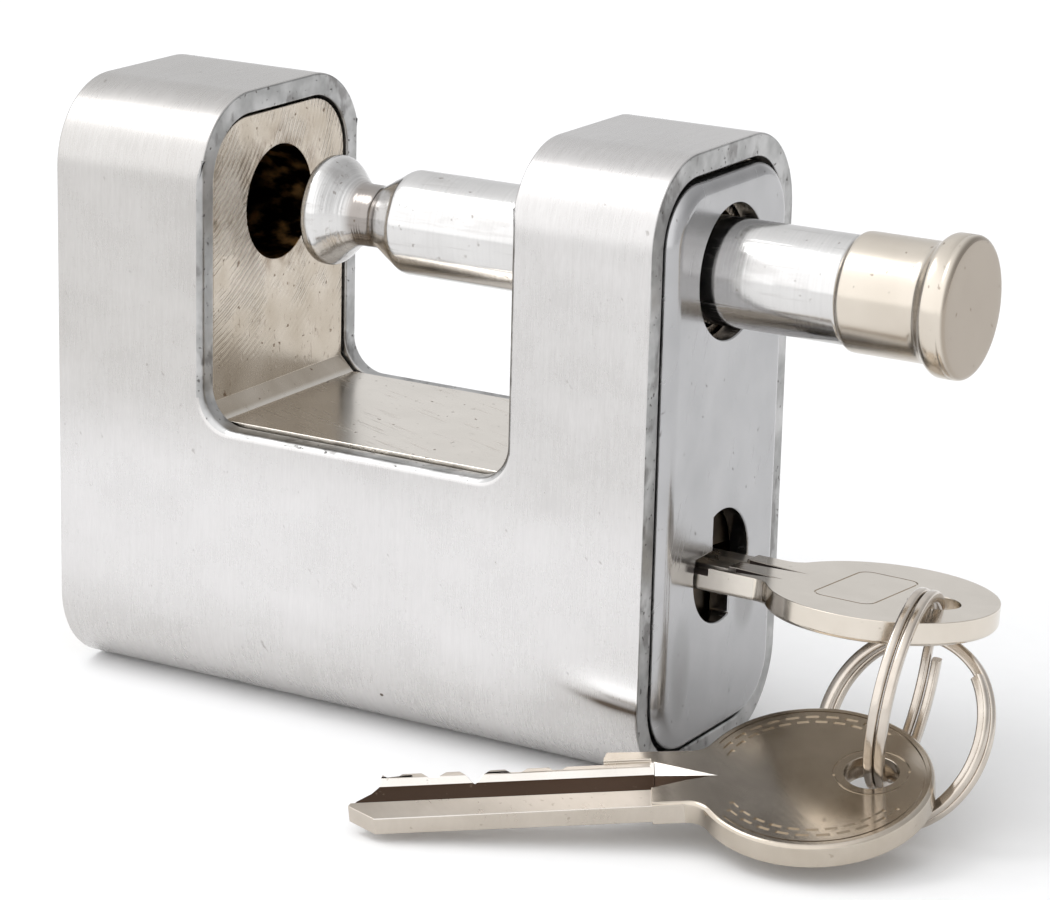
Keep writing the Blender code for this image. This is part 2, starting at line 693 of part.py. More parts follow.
def make_ball_stop(steel):
    """A sprung ball above the bolt drops into its waist at the end of the travel."""
    ball = bmesh.new()
    bmesh.ops.create_uvsphere(ball, u_segments=16, v_segments=10, radius=BALL_RADIUS)
    made = finish(ball, "stop_ball")
    centre = BOLT_HEIGHT + BOLT_RADIUS + FIT_GAP + BALL_RADIUS
    made.location = (BALL_X, 0.0, centre)
    dress(made, steel)
    low = centre + BALL_RADIUS + SEAT_GAP
    height = BODY_HEIGHT - JACKET_WALL - SEAT_GAP - low
    spring = finish(coil(BALL_SPRING_RADIUS, SPRING_WIRE, height, BALL_SPRING_TURNS), "stop_spring")
    spring.location = (BALL_X, 0.0, low)
    dress(spring, steel)


def side_fillet(half, side):
    """A soft corner where a straight edge of the key runs into the round bow."""
    reach = math.sqrt((BOW_RADIUS + BOW_FILLET) ** 2 - (half + BOW_FILLET) ** 2)
    centre = (BOW_CENTRE - reach, side * (half + BOW_FILLET))
    lean = math.degrees(math.atan2(half + BOW_FILLET, reach))
    if side < 0:
        return arc(centre, BOW_FILLET, 90.0, lean, 5)
    return arc(centre, BOW_FILLET, -lean, -90.0, 5)


def key_outline():
    """The key's flat outline, x from the shoulder and the cut edge towards +y."""
    tip = -BLADE_LENGTH
    near = -BLADE_HALF
    points = [(tip, -TIP_HALF), (tip + TIP_TAPER, near)]
    lower = side_fillet(BLADE_HALF, -1.0)
    upper = side_fillet(TAB_HALF, 1.0)
    start = math.degrees(math.atan2(lower[-1][1], lower[-1][0] - BOW_CENTRE))
    end = math.degrees(math.atan2(upper[0][1], upper[0][0] - BOW_CENTRE))
    points += lower
    points += arc((BOW_CENTRE, 0.0), BOW_RADIUS, start, end, 40)[1:-1]
    points += upper
    points += [(TAB_RUN, TAB_HALF), (0.0, TAB_HALF - 3 * TAB_RUN), (0.0, BLADE_HALF)]
    for index in range(PIN_COUNT):
        place = -PIN_START - PIN_PITCH * index
        depth = CUT_DEPTHS[index]
        root = BLADE_HALF - depth
        points.append((place + CUT_FLAT + depth, BLADE_HALF))
        points.append((place + CUT_FLAT, root))
        points.append((place - CUT_FLAT, root))
        points.append((place - CUT_FLAT - depth, BLADE_HALF))
    points += [(tip + TIP_RISE, BLADE_HALF - TIP_DROP), (tip + TIP_RISE * 0.75, TIP_HALF)]
    points += [(tip + TIP_RISE * 0.25, TIP_HALF * 0.1)]
    return points


def make_key_mesh():
    """One blank: blade thinner than the bow, one wide groove and two narrow ones."""
    half = KEY_THICKNESS / 2
    key = finish(along_z(key_outline(), -half, half), "lock_key")
    tools = []
    steps = 24
    hole_place = (BOW_CENTRE + KEY_HOLE_OFFSET, 0.0)
    hole_edge = arc(hole_place, KEY_HOLE_RADIUS, 0.0, 360.0 - 360.0 / steps, steps - 1)
    tools.append(cutter(along_z(hole_edge, -half * 2, half * 2), "cut_key_hole"))
    for side in (-1.0, 1.0):
        low = side * (half - BLADE_RECESS)
        high = side * (half + CUT_MARGIN)
        low, high = min(low, high), max(low, high)
        face = block(
            (-BLADE_LENGTH - CUT_MARGIN, -TAB_HALF - CUT_MARGIN, low),
            (NECK_START, BLADE_HALF + CUT_MARGIN, high),
        )
        tools.append(cutter(face, "cut_blade_face_%s" % ("a" if side > 0 else "b")))
    for name, centre, side in (
        ("a", WIDE_GROOVE_PLACE, 1.0),
        ("b", -0.0013, -1.0),
        ("c", 0.0020, -1.0),
    ):
        width = WIDE_GROOVE_WIDTH if side > 0 else GROOVE_WIDTH
        low = side * (half - (WIDE_GROOVE_DEPTH if side > 0 else GROOVE_DEPTH))
        high = side * (half + CUT_MARGIN)
        outline = [(-BLADE_LENGTH - CUT_MARGIN, centre - width / 2), (GROOVE_END * 0.5, centre - width / 2)]
        outline += [(GROOVE_END, centre)]
        outline += [(GROOVE_END * 0.5, centre + width / 2), (-BLADE_LENGTH - CUT_MARGIN, centre + width / 2)]
        tools.append(cutter(along_z(outline, min(low, high), max(low, high)), "cut_groove_" + name))
    cut(key, tools)
    return key, tools


def make_keys(nickel, parent):
    key, tools = make_key_mesh()
    view = bpy.context.evaluated_depsgraph_get()
    mesh = bpy.data.meshes.new_from_object(key.evaluated_get(view))
    old = key.data
    key.modifiers.clear()
    key.data = mesh
    bpy.data.meshes.remove(old)
    for tool in tools:
        bpy.data.objects.remove(tool)
    mesh.materials.clear()
    mesh.materials.append(nickel)
    key.parent = parent
    middle = -BLADE_LENGTH / 2
    turn = Matrix.Rotation(KEY_SAG, 4, "Y") @ Matrix.Rotation(math.pi, 4, "X")
    place = Matrix.Translation((SHOULDER_X + middle, 0.0, 0.0))
    key.matrix_local = place @ turn @ Matrix.Translation((-middle, 0.0, 0.0))
    spare = bpy.data.objects.new("spare_key", mesh)
    bpy.context.collection.objects.link(spare)
    heading, rise, roll = SPARE_TURN
    turn = Matrix.Rotation(heading, 4, "Z") @ Matrix.Rotation(-rise, 4, "Y") @ Matrix.Rotation(roll, 4, "X")
    shift = Matrix.Translation((-BOW_CENTRE, 0.0, 0.0))
    place = Matrix.Translation(from_plate(SPARE_BOW_PLACE))
    carry(spare, parent)
    spare.matrix_world = place @ turn @ shift
    return key, spare


def from_plate(place):
    """A point whose X is counted from the plate's face, in the lock's frame."""
    return Vector((PLATE_FACE, 0.0, 0.0)) + Vector(place)


def carry(item, parent):
    """Hang a loose item on the turning pieces without moving it."""
    item.parent = parent
    item.matrix_parent_inverse = parent.matrix_basis.inverted()


def split_ring(name, place, axis, start, nickel, parent):
    """Two turns of flat wire side by side, which cross over once."""
    azimuth, rise = axis
    level = math.cos(rise)
    normal = Vector((level * math.cos(azimuth), level * math.sin(azimuth), math.sin(rise)))
    side = normal.cross(Vector((0.0, 0.0, 1.0))).normalized()
    up = normal.cross(side)
    offset = (RING_WIRE_WIDE + RING_SPLIT_GAP) / 2
    total = 4 * math.pi - 2 * RING_CROSSING
    count = 92
    wide = RING_WIRE_WIDE / 2
    deep = RING_WIRE_DEEP / 2
    bevel = 0.35 * wide
    section = [
        (deep, wide - bevel), (deep - bevel, wide), (-deep + bevel, wide), (-deep, wide - bevel),
        (-deep, -wide + bevel), (-deep + bevel, -wide), (deep - bevel, -wide), (deep, -wide + bevel),
    ]
    rings = []
    for step in range(count + 1):
        angle = RING_CROSSING + total * step / count
        cross = (angle - (2 * math.pi - RING_CROSSING)) / (2 * RING_CROSSING)
        blend = min(max(cross, 0.0), 1.0)
        blend = blend * blend * (3.0 - 2.0 * blend)
        shift = normal * (offset * (2.0 * blend - 1.0))
        out = side * math.cos(angle + start) + up * math.sin(angle + start)
        rings.append([out * (RING_RADIUS + a) + shift + normal * b for a, b in section])
    ring = finish(tube(rings), name)
    carry(ring, parent)
    ring.location = from_plate(place)
    return dress(ring, nickel)


def main():
    for item in list(bpy.data.objects):
        bpy.data.objects.remove(item)
    jacket_steel = material("brushed_jacket_steel", (0.62, 0.61, 0.60), 0.34)
    hard_steel = material("polished_hard_steel", (0.66, 0.66, 0.66), 0.16)
    nickel_brass = material("nickel_plated_brass", (0.66, 0.60, 0.52), 0.22)
    bare_brass = material("plain_brass", (0.72, 0.55, 0.30), 0.30)
    key_nickel = material("key_nickel_silver", (0.70, 0.65, 0.60), 0.20)
    inner_steel = material("plain_inner_steel", (0.50, 0.50, 0.50), 0.30)
    bolt_axis = joint_empty("bolt_axis", (0.0, 0.0, BOLT_HEIGHT))
    plug_axis = joint_empty("plug_axis", (0.0, 0.0, PLUG_HEIGHT), OPEN_TURN)
    pawl_axis = joint_empty("pawl_axis", (PAWL_X, 0.0, 0.0))
    make_jacket(jacket_steel)
    make_lock_body(nickel_brass)
    make_end_plate(hard_steel)
    make_plate_pins(inner_steel)
    make_bolt(hard_steel, bolt_axis)
    make_cap(nickel_brass, bolt_axis)
    make_plug(bare_brass, plug_axis)
    make_key_pins(bare_brass, plug_axis)
    make_driver_stacks(bare_brass, inner_steel)
    make_chamber_strip(bare_brass)
    make_tailpiece(inner_steel, plug_axis)
    make_pawl(inner_steel, pawl_axis)
    make_pawl_spring(inner_steel)
    make_ball_stop(inner_steel)
    make_keys(key_nickel, plug_axis)
    front = (FRONT_RING_PLACE, FRONT_RING_AXIS, FRONT_RING_START)
    back = (BACK_RING_PLACE, BACK_RING_AXIS, BACK_RING_START)
    split_ring("front_key_ring", *front, key_nickel, plug_axis)
    split_ring("rear_key_ring", *back, key_nickel, plug_axis)
    bpy.context.view_layer.update()


main()
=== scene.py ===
# %% [markdown]
# # A sliding shackle padlock in Blender
#
# The lock is a square steel tube, folded round a plated brass body. A straight bolt slides
# through both of its legs, and a key turns a plug behind the hardened end plate.
#
# The solid model comes first and is never moved. This script lays smoother skins over the
# pieces that show, and gives every piece a metal made of nodes. All sizes are in metres:
# X runs towards the key end, -Y is the front face, and Z is up.

# %% Load the solid model
import math

import bmesh
import bpy
from mathutils import Matrix, Vector


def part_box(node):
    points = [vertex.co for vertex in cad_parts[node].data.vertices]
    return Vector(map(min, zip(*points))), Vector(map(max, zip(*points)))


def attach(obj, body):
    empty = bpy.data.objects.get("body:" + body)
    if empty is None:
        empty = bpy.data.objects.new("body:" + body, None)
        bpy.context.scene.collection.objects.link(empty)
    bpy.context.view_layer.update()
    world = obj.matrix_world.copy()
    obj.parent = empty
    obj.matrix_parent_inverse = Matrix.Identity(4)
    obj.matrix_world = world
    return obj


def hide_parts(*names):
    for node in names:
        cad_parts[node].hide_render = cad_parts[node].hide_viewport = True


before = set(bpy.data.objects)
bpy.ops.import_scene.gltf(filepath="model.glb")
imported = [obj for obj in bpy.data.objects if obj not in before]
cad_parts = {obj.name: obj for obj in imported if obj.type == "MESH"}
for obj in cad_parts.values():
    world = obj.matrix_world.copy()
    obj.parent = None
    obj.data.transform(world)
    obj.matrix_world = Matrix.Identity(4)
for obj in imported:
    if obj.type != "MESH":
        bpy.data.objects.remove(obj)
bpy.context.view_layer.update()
scene = bpy.context.scene

# %% [markdown]
# ## Sizes
#
# A skin has to lie exactly where its solid lies. The overall sizes are therefore measured
# on the solids, and only the small ones, such as walls and roundings, are written here.

# %% Measure the lock and name its small sizes
jacket_low, jacket_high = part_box("jacket")
body_low, body_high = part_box("lock_body")
plate_low, plate_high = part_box("end_plate")
bolt_low, bolt_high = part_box("shackle_bolt")
cap_low, cap_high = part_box("bolt_cap")
pawl_low, pawl_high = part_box("locking_pawl")

HALF_DEPTH = jacket_high.y
HEIGHT = jacket_high.z
CORNER_RADIUS = 0.0082
JACKET_WALL = 0.0022
FIT_GAP = 0.0003
LEFT_LEG = 0.0168
RIGHT_LEG = 0.0145
NOTCH_FLOOR = 0.0276
NOTCH_RADIUS = 0.0036
NOTCH_BEVEL = 0.0005
BODY_STEP = 0.0003
BODY_CHAMFER = 0.0015
NOTCH_LEFT = jacket_low.x + LEFT_LEG
NOTCH_RIGHT = jacket_high.x - RIGHT_LEG
BOLT_HEIGHT = (bolt_low.z + bolt_high.z) / 2
BORE_RADIUS = 0.0056
PLUG_HEIGHT = 0.0191
PLUG_BORE_RADIUS = 0.0068
PLUG_REAR = 0.0047
PLATE_HOLE_RADIUS = 0.0063
KEYHOLE_RADIUS = 0.0054
KEYHOLE_SLOT = 0.0036
PLATE_ROUNDING = 0.0014
print("Notch", round(NOTCH_LEFT, 4), "to", round(NOTCH_RIGHT, 4), "bolt", round(BOLT_HEIGHT, 4))

# %% [markdown]
# ## Camera
#
# The picture was taken from the front right with a long lens, a little above the lock.
# The camera's place was solved from the lock's own edges. Yaw, pitch and roll turn three
# directions, forward, right and down, which then become the columns of its matrix.

# %% Place the camera
def shift(x, y=0.0, z=0.0):
    return Matrix.Translation((x, y, z))


def spin(degrees, axis):
    return Matrix.Rotation(math.radians(degrees), 4, axis)


def columns(*axes):
    return Matrix(axes).transposed().to_4x4()


PHOTO_WIDTH = 1050
PHOTO_HEIGHT = 900
FOCAL_PIXELS = 3872.9
LENS_CENTRE = (538.6, 479.9)
yaw, pitch, roll = (math.radians(a) for a in (29.971, 16.438, -1.467))
ahead = math.cos(pitch)
forward = Vector((-ahead * math.sin(yaw), ahead * math.cos(yaw), -math.sin(pitch)))
level = Vector((math.cos(yaw), math.sin(yaw), 0.0))
sunk = forward.cross(level)
right = math.cos(roll) * level + math.sin(roll) * sunk
down = -math.sin(roll) * level + math.cos(roll) * sunk
camera = bpy.data.objects.new("camera", bpy.data.cameras.new("camera"))
scene.collection.objects.link(camera)
camera.matrix_world = shift(0.18965, -0.30509, 0.12792) @ columns(right, -down, -forward)
camera.data.sensor_width = 36.0
camera.data.lens = FOCAL_PIXELS / PHOTO_WIDTH * 36.0
camera.data.shift_x = (PHOTO_WIDTH / 2 - LENS_CENTRE[0]) / PHOTO_WIDTH
camera.data.shift_y = (LENS_CENTRE[1] - PHOTO_HEIGHT / 2) / PHOTO_WIDTH
camera.data.clip_start = 0.01
scene.camera = camera
print("Lens", round(camera.data.lens, 1), "mm")

# %% [markdown]
# ## Node trees written as Python
#
# A finish is a small sum: stripes plus stains, times a mask. One class wraps a socket and
# gives it Python's arithmetic, and one method adds every other kind of node: its settings
# first, then what its sockets get.

# %% A socket with arithmetic, and a tree with one method
class Signal:
    """One value, colour or vector that flows through a node tree."""

    def __init__(self, tree, socket):
        self.tree = tree
        self.socket = socket

    def maths(self, operation, *values):
        kept = {"operation": operation}
        return self.tree.add("ShaderNodeMath", kept, dict(enumerate(values)))

    def __add__(self, other):
        return self.maths("ADD", self, other)

    __radd__ = __add__

    def __sub__(self, other):
        return self.maths("SUBTRACT", self, other)

    def __rsub__(self, other):
        return self.maths("SUBTRACT", other, self)

    def __mul__(self, other):
        return self.maths("MULTIPLY", self, other)

    __rmul__ = __mul__

    def __truediv__(self, other):
        return self.maths("DIVIDE", self, other)

    def __rtruediv__(self, other):
        return self.maths("DIVIDE", other, self)

    def __pow__(self, other):
        return self.maths("POWER", self, other)

    def __neg__(self):
        return self.maths("MULTIPLY", self, -1.0)

    def sine(self):
        return self.maths("SINE", self)

    def cosine(self):
        return self.maths("COSINE", self)

    def root(self):
        return self.maths("SQRT", self)

    def parts(self):
        """The X, Y and Z of a vector."""
        split = self.tree.add("ShaderNodeSeparateXYZ", values={0: self})
        return [Signal(self.tree, socket) for socket in split.socket.node.outputs]

    def between(self, low, high):
        """0 below low, 1 above high and smooth in between."""
        kept = {"interpolation_type": "SMOOTHSTEP"}
        given = {"Value": self, "From Min": low, "From Max": high}
        return self.tree.add("ShaderNodeMapRange", kept, given)


class Tree:
    """A node tree, with one method that adds any node."""

    def __init__(self, tree):
        self.tree = tree
        tree.nodes.clear()

    def add(self, kind, settings=None, values=None, output=0):
        node = self.tree.nodes.new(kind)
        for name, value in (settings or {}).items():
            setattr(node, name, value)
        for name, value in (values or {}).items():
            self.put(value, node.inputs[name])
        return Signal(self, node.outputs[output]) if len(node.outputs) else node

    def put(self, value, socket):
        """Link a signal to a socket, or set a plain number there."""
        if isinstance(value, Signal):
            self.tree.links.new(value.socket, socket)
        else:
            socket.default_value = value


print("Signal operators:", len([name for name in vars(Signal) if name.startswith("__")]))

# %% [markdown]
# ## What all the metals share
#
# Real metal is never one colour. It carries stripes from the tool that made it, a cloudy
# unevenness, small pits and scratches from keys and hands. Each finish below mixes those
# few ingredients, measured on the piece itself in metres, so that nothing slides when a
# piece moves.

# %% A finish class with the shared ingredients
class Finish(Tree):
    """The material of one metal."""

    def __init__(self, name, metallic=1.0):
        self.material = bpy.data.materials.new(name)
        self.material.use_nodes = True
        super().__init__(self.material.node_tree)
        metal = self.add("ShaderNodeBsdfPrincipled", values={"Metallic": metallic})
        self.add("ShaderNodeOutputMaterial", values={"Surface": metal})
        self.inputs = metal.socket.node.inputs
        self.place = self.add("ShaderNodeTexCoord", output="Object")
        self.x, self.y, self.z = self.place.parts()

    def grain(self, across, detail=2.0, turn=None, seed=0.0):
        """Noise with so many blotches a metre, or a number for each axis, centred on 0.5."""
        across = across if isinstance(across, tuple) else (across,) * 3
        place = self.place
        if turn:
            place = self.add("ShaderNodeMapping", values={"Vector": place, "Rotation": turn})
        given = {0: place, 1: across}
        stretched = self.add("ShaderNodeVectorMath", {"operation": "MULTIPLY"}, given)
        moved = {0: stretched, 1: (seed, seed * 1.7, seed * 0.6)}
        stretched = self.add("ShaderNodeVectorMath", {"operation": "ADD"}, moved)
        given = {"Vector": stretched, "Scale": 1.0, "Detail": detail}
        return self.add("ShaderNodeTexNoise", values=given)

    def paint(self, mask, low, high):
        """One colour where the mask is 0 and the other where it is 1."""
        low, high = ((*c, 1.0) if isinstance(c, tuple) else c for c in (low, high))
        given = {0: mask, 6: low, 7: high}
        self.colour = self.add("ShaderNodeMix", {"data_type": "RGBA"}, given, 2)

    def tint(self, mask, colour):
        """Lay a colour over what is there."""
        self.paint(mask, self.colour, colour)

    def spot(self, centre, reach, soft=0.4):
        """1 inside an ellipsoid, falling to 0 at its edge."""
        parts = zip((self.x, self.y, self.z), centre, reach)
        a, b, c = (((axis - middle) * (1.0 / size)) ** 2.0 for axis, middle, size in parts)
        return 1.0 - (a + b + c).between(1.0 - soft, 1.0)

    def relief(self, height, depth):
        """Push the surface in and out by a height from 0 to 1, times a depth in metres."""
        given = {"Strength": 1.0, "Distance": depth, "Height": height}
        self.put(self.add("ShaderNodeBump", values=given), self.inputs["Normal"])

    def wear(self, roughness):
        """Give the shader its colour and its roughness."""
        self.put(self.colour, self.inputs["Base Color"])
        self.put(roughness, self.inputs["Roughness"])
        return self.material


print("Finish ingredients:", [n for n in vars(Finish) if not n.startswith("_")])

# %% [markdown]
# ## Satin steel of the jacket
#
# The tube was belt ground across its length, so its fine lines run up the front and over
# the top. Noise that is squeezed along X and long in Y and Z gives just that, on every
# side at once. The front also carries painted light: a painted shade high on the left leg
# and a painted sheen in a low band. Low down at the right the front has a dent from a blow:
# a curved ridge made by a bump, with a painted highlight along it and a painted shade on
# the lip below it.

# %% Brushed steel with a dent
PIT_PLACE, PIT_SIZE = (0.0045, -HALF_DEPTH, 0.0043), (0.00026, 0.002, 0.00022)
DENT_HEIGHT, DENT_WIDTH = 0.0093, 0.0014
LIP_SHADE_DROP, LIP_SHADE_WIDTH = 0.0009, 0.00042


def brushed_steel():
    steel = Finish("brushed_jacket_steel")
    hair = steel.grain((7000.0, 800.0, 800.0), 2.0)
    strokes = steel.grain((2600.0, 160.0, 160.0), 2.0, seed=3.0)
    cloud = steel.grain((150.0, 150.0, 210.0), 4.0, seed=7.0)
    patch = steel.grain((45.0, 45.0, 60.0), 2.0, seed=9.0)
    nick = steel.grain((1500.0, 600.0, 700.0), 3.0, turn=(0.0, 0.6, 0.0), seed=11.0)
    nick = nick.between(0.7, 0.78)
    pit = steel.spot(PIT_PLACE, PIT_SIZE)
    tone = hair * 0.45 + strokes * 0.35 + cloud * 0.6 + patch * 0.5 - 0.45
    steel.paint(tone, (0.49, 0.475, 0.463), (0.7, 0.685, 0.676))
    # Painted light: a painted shade high on the left leg and a painted sheen in a low band
    # across the front.
    painted_upper_shade = steel.z.between(0.022, 0.036) * (1.0 - steel.x.between(-0.016, 0.004))
    steel.tint(painted_upper_shade * 0.2, (0.34, 0.315, 0.27))
    painted_lower_sheen = (1.0 - steel.z.between(0.02, 0.03)) * steel.z.between(0.005, 0.013)
    steel.tint(painted_lower_sheen * 0.28, (0.97, 0.955, 0.965))
    inward = jacket_high.x - steel.x
    crease = steel.z - (DENT_HEIGHT + inward * 0.05 + inward ** 2.0 * 12.0)
    bulge_and_highlight = 1.0 / (1.0 + (crease * (1.0 / DENT_WIDTH)) ** 2.0)
    front = (-steel.y).between(HALF_DEPTH - 0.002, HALF_DEPTH - 0.0005)
    reach = steel.x.between(0.0225, 0.03) * front
    lip_shade = reach / (1.0 + ((crease + LIP_SHADE_DROP) * (1.0 / LIP_SHADE_WIDTH)) ** 2.0)
    # Painted highlight along the dent's ridge. The same mask also raises the ridge as a bump.
    steel.tint(bulge_and_highlight * reach * 0.8, (0.95, 0.935, 0.92))
    # Real nicks and pits, plus a painted shade along the dent's lower lip.
    dark = nick * 0.35 + pit + lip_shade * (0.75 + cloud * 0.6)
    steel.tint(dark, (0.12, 0.095, 0.075))
    height = hair * 0.45 + strokes * 0.3 + cloud * 0.35 - nick * 0.5 + bulge_and_highlight * reach * 26.0
    steel.relief(height, 0.000018)
    return steel.wear(0.19 + hair * 0.08 + cloud * 0.1 + nick * 0.1)


JACKET_STEEL = brushed_steel()
print("Made", JACKET_STEEL.name)

# %% [markdown]
# ## Sawn steel edges
#
# Where the tube was cut for the notch and at its two ends, the wall shows a duller, mottled
# grey with stains and dark specks, each a noise of its own size.

# %% Mottled cut edges
def sawn_steel():
    steel = Finish("sawn_jacket_edge")
    mottle = steel.grain(900.0, 4.0)
    patch = steel.grain(260.0, 3.0, seed=5.0).between(0.38, 0.66)
    stain = steel.grain((420.0, 420.0, 300.0), 3.0, seed=12.0).between(0.56, 0.68)
    speck = steel.grain(1900.0, 2.0, seed=9.0).between(0.66, 0.72)
    steel.paint(mottle * 0.5 + patch * 0.5, (0.26, 0.26, 0.255), (0.6, 0.595, 0.59))
    steel.tint(stain * 0.6, (0.13, 0.12, 0.115))
    steel.tint(speck * 0.7, (0.07, 0.06, 0.055))
    steel.relief(mottle + patch * 0.4 - stain * 0.5 - speck * 0.6, 0.00005)
    return steel.wear(0.26 + mottle * 0.16 + speck * 0.2)


SAWN_STEEL = sawn_steel()
print("Made", SAWN_STEEL.name)

# %% [markdown]
# ## Nickel plated brass of the body
#
# The body was milled before plating. A fly cutter left arcs on the notch walls: circles
# round one far centre, strongest near the bolt's bore. The height of such a pattern is
# the sine of the distance from that centre.

# %% Milled and plated brass
CUTTER_Y, CUTTER_Z = -0.0239, 0.0662
WIDE_LINES, FINE_LINES = 0.00062, 0.00021


def plated_brass():
    brass = Finish("nickel_plated_brass")
    arcs = ((brass.y - CUTTER_Y) ** 2.0 + (brass.z - CUTTER_Z) ** 2.0).root()
    waver = brass.grain((60.0, 500.0, 500.0), 2.0)
    wide = (arcs * (math.tau / WIDE_LINES) + waver * 6.0).sine() * 0.5 + 0.5
    fine = (arcs * (math.tau / FINE_LINES) + waver * 9.0).sine() * 0.5 + 0.5
    upper = brass.z.between(0.031, 0.041)
    strength = brass.grain((100.0, 260.0, 260.0), 2.0, seed=6.0).between(0.3, 0.65)
    milled = (wide * 0.65 + fine * 0.35) * upper * strength
    cloud = brass.grain((180.0, 230.0, 180.0), 4.0, seed=2.0)
    rub = brass.grain((150.0, 2600.0, 900.0), 2.0, turn=(0.0, 0.0, 0.4), seed=4.0)
    rub = rub.between(0.6, 0.74)
    pit = brass.grain(1300.0, 2.0, seed=8.0).between(0.69, 0.75)
    away = (brass.y ** 2.0 + (brass.z - BOLT_HEIGHT) ** 2.0).root()
    rim = (-away).between(-0.0092, -BORE_RADIUS)
    inside = brass.x.between(body_low.x + 0.001, body_low.x + 0.002)
    stain = rim * inside * brass.grain(700.0, 3.0, seed=14.0).between(0.35, 0.75)
    floor = inside * (1.0 - brass.z.between(NOTCH_FLOOR + 0.0004, NOTCH_FLOOR + 0.0008))
    tone = cloud * 0.9 + milled * 0.55 - 0.25
    brass.paint(tone, (0.45, 0.385, 0.305), (0.88, 0.815, 0.73))
    brass.tint(floor * 0.6, (0.97, 0.93, 0.87))
    brass.tint(stain * 0.5 + pit * 0.8 + rub * 0.12, (0.16, 0.09, 0.04))
    brass.relief(milled * 2.0 + cloud * 0.4 - pit * 0.8 - rub * 0.3, 0.00004)
    return brass.wear(0.18 + cloud * 0.1 + milled * 0.1 + rub * 0.1)


PLATED_BRASS = plated_brass()
print("Made", PLATED_BRASS.name)

# %% [markdown]
# ## Polished steel of the end plate and the bolt
#
# Both are hardened and polished. The plate keeps faint haze and short scratches, and two
# painted dark patches: a painted shade low under the key and a tall painted dark reflection
# at the front side. The bolt was turned, so its lines are rings round X, and it has drag
# marks along its length from sliding through the bores. Its waist and its underside are
# painted darker as shade.

# %% Plate steel and bolt steel
def plate_steel():
    steel = Finish("polished_plate_steel")
    haze = steel.grain((210.0, 240.0, 190.0), 4.0)
    cloud = steel.grain((60.0, 110.0, 60.0), 2.0, seed=4.0)
    scratch = steel.grain((500.0, 3400.0, 160.0), 2.0, turn=(0.35, 0.0, 0.0), seed=6.0)
    scratch = scratch.between(0.64, 0.74)
    # Two painted dark patches on the face: a painted shade low under the key and a tall painted
    # dark reflection at the front side.
    low = steel.spot((plate_high.x, 0.005, 0.0145), (0.004, 0.0026, 0.0036), 0.9)
    side = steel.spot((plate_high.x, -0.0075, 0.011), (0.004, 0.0022, 0.006), 0.9)
    speck = steel.grain(1100.0, 2.0, seed=1.0).between(0.7, 0.77)
    tone = haze * 0.8 + cloud * 0.6 - 0.2
    steel.paint(tone, (0.36, 0.36, 0.365), (0.54, 0.535, 0.54))
    steel.tint((low + side) * haze * 0.6 + speck * 0.6, (0.14, 0.13, 0.12))
    steel.relief(haze * 0.7 + cloud * 0.6 - scratch * 0.5, 0.000014)
    return steel.wear(0.13 + haze * 0.12 + scratch * 0.12 + low * 0.06)


def bolt_steel():
    steel = Finish("turned_bolt_steel")
    rings = steel.grain((3400.0, 40.0, 40.0), 3.0)
    head = (-steel.x).between(0.0035, 0.006)
    drag = steel.grain((110.0, 1900.0, 1900.0), 3.0, seed=5.0).between(0.56, 0.74)
    cloud = steel.grain(230.0, 4.0, seed=2.0)
    speck = steel.grain(1500.0, 2.0, seed=3.0).between(0.68, 0.76)
    smear = steel.grain((120.0, 420.0, 420.0), 3.0, seed=15.0).between(0.58, 0.72)
    steel.paint(cloud * 0.6 + rings * 0.4, (0.54, 0.53, 0.52), (0.8, 0.79, 0.78))
    # Painted shade in the waist and on the underside, mixed with the real specks, drag marks and
    # smears.
    painted_waist_shade = steel.x.between(-0.007, -0.0058) * (1.0 - steel.x.between(-0.0036, -0.0026))
    under = 1.0 - steel.z.between(BOLT_HEIGHT - 0.0048, BOLT_HEIGHT - 0.0036)
    dark = speck * 0.5 + drag * 0.14 + smear * 0.16 + painted_waist_shade * 0.7 + under * 0.45
    steel.tint(dark, (0.19, 0.155, 0.13))
    steel.relief(rings * (0.5 + head * 4.0) - drag * 0.6 + smear * 0.6, 0.000014)
    return steel.wear(0.11 + rings * 0.08 + drag * 0.14 + smear * 0.08)


PLATE_STEEL = plate_steel()
BOLT_STEEL = bolt_steel()
print("Made", PLATE_STEEL.name, "and", BOLT_STEEL.name)

# %% [markdown]
# ## Nickel on the cap, the keys and the rings
#
# Nickel plate over brass looks warm beside steel. The cap is the smoothest, and its end
# face is painted darker as shade. The keys were stamped and then tumbled, so they are a
# little hazy. Their grooves are painted nearly black as shade, the wide groove's far wall
# and the lower blade edge carry a painted highlight, and painted light by height makes the
# key up in the plug lighter and the spare darker. The rings are drawn wire.

# %% Cap nickel, key nickel, ring wire
def cap_nickel():
    nickel = Finish("champagne_cap_nickel")
    haze = nickel.grain(160.0, 3.0)
    rings = nickel.grain((2200.0, 60.0, 60.0), 1.0, seed=4.0)
    speck = nickel.grain(1500.0, 1.0, seed=6.0).between(0.72, 0.77)
    nickel.paint(haze, (0.56, 0.5, 0.425), (0.74, 0.68, 0.6))
    # The end face is painted darker as shade, mixed with real dark specks.
    face = nickel.x.between(cap_high.x - 0.0004, cap_high.x - 0.0001)
    nickel.tint(speck * 0.5 + face * (0.45 + haze * 0.3), (0.22, 0.17, 0.125))
    nickel.relief(haze * 0.4 + rings * 0.3, 0.000008)
    return nickel.wear(0.15 + haze * 0.07 + rings * 0.05)


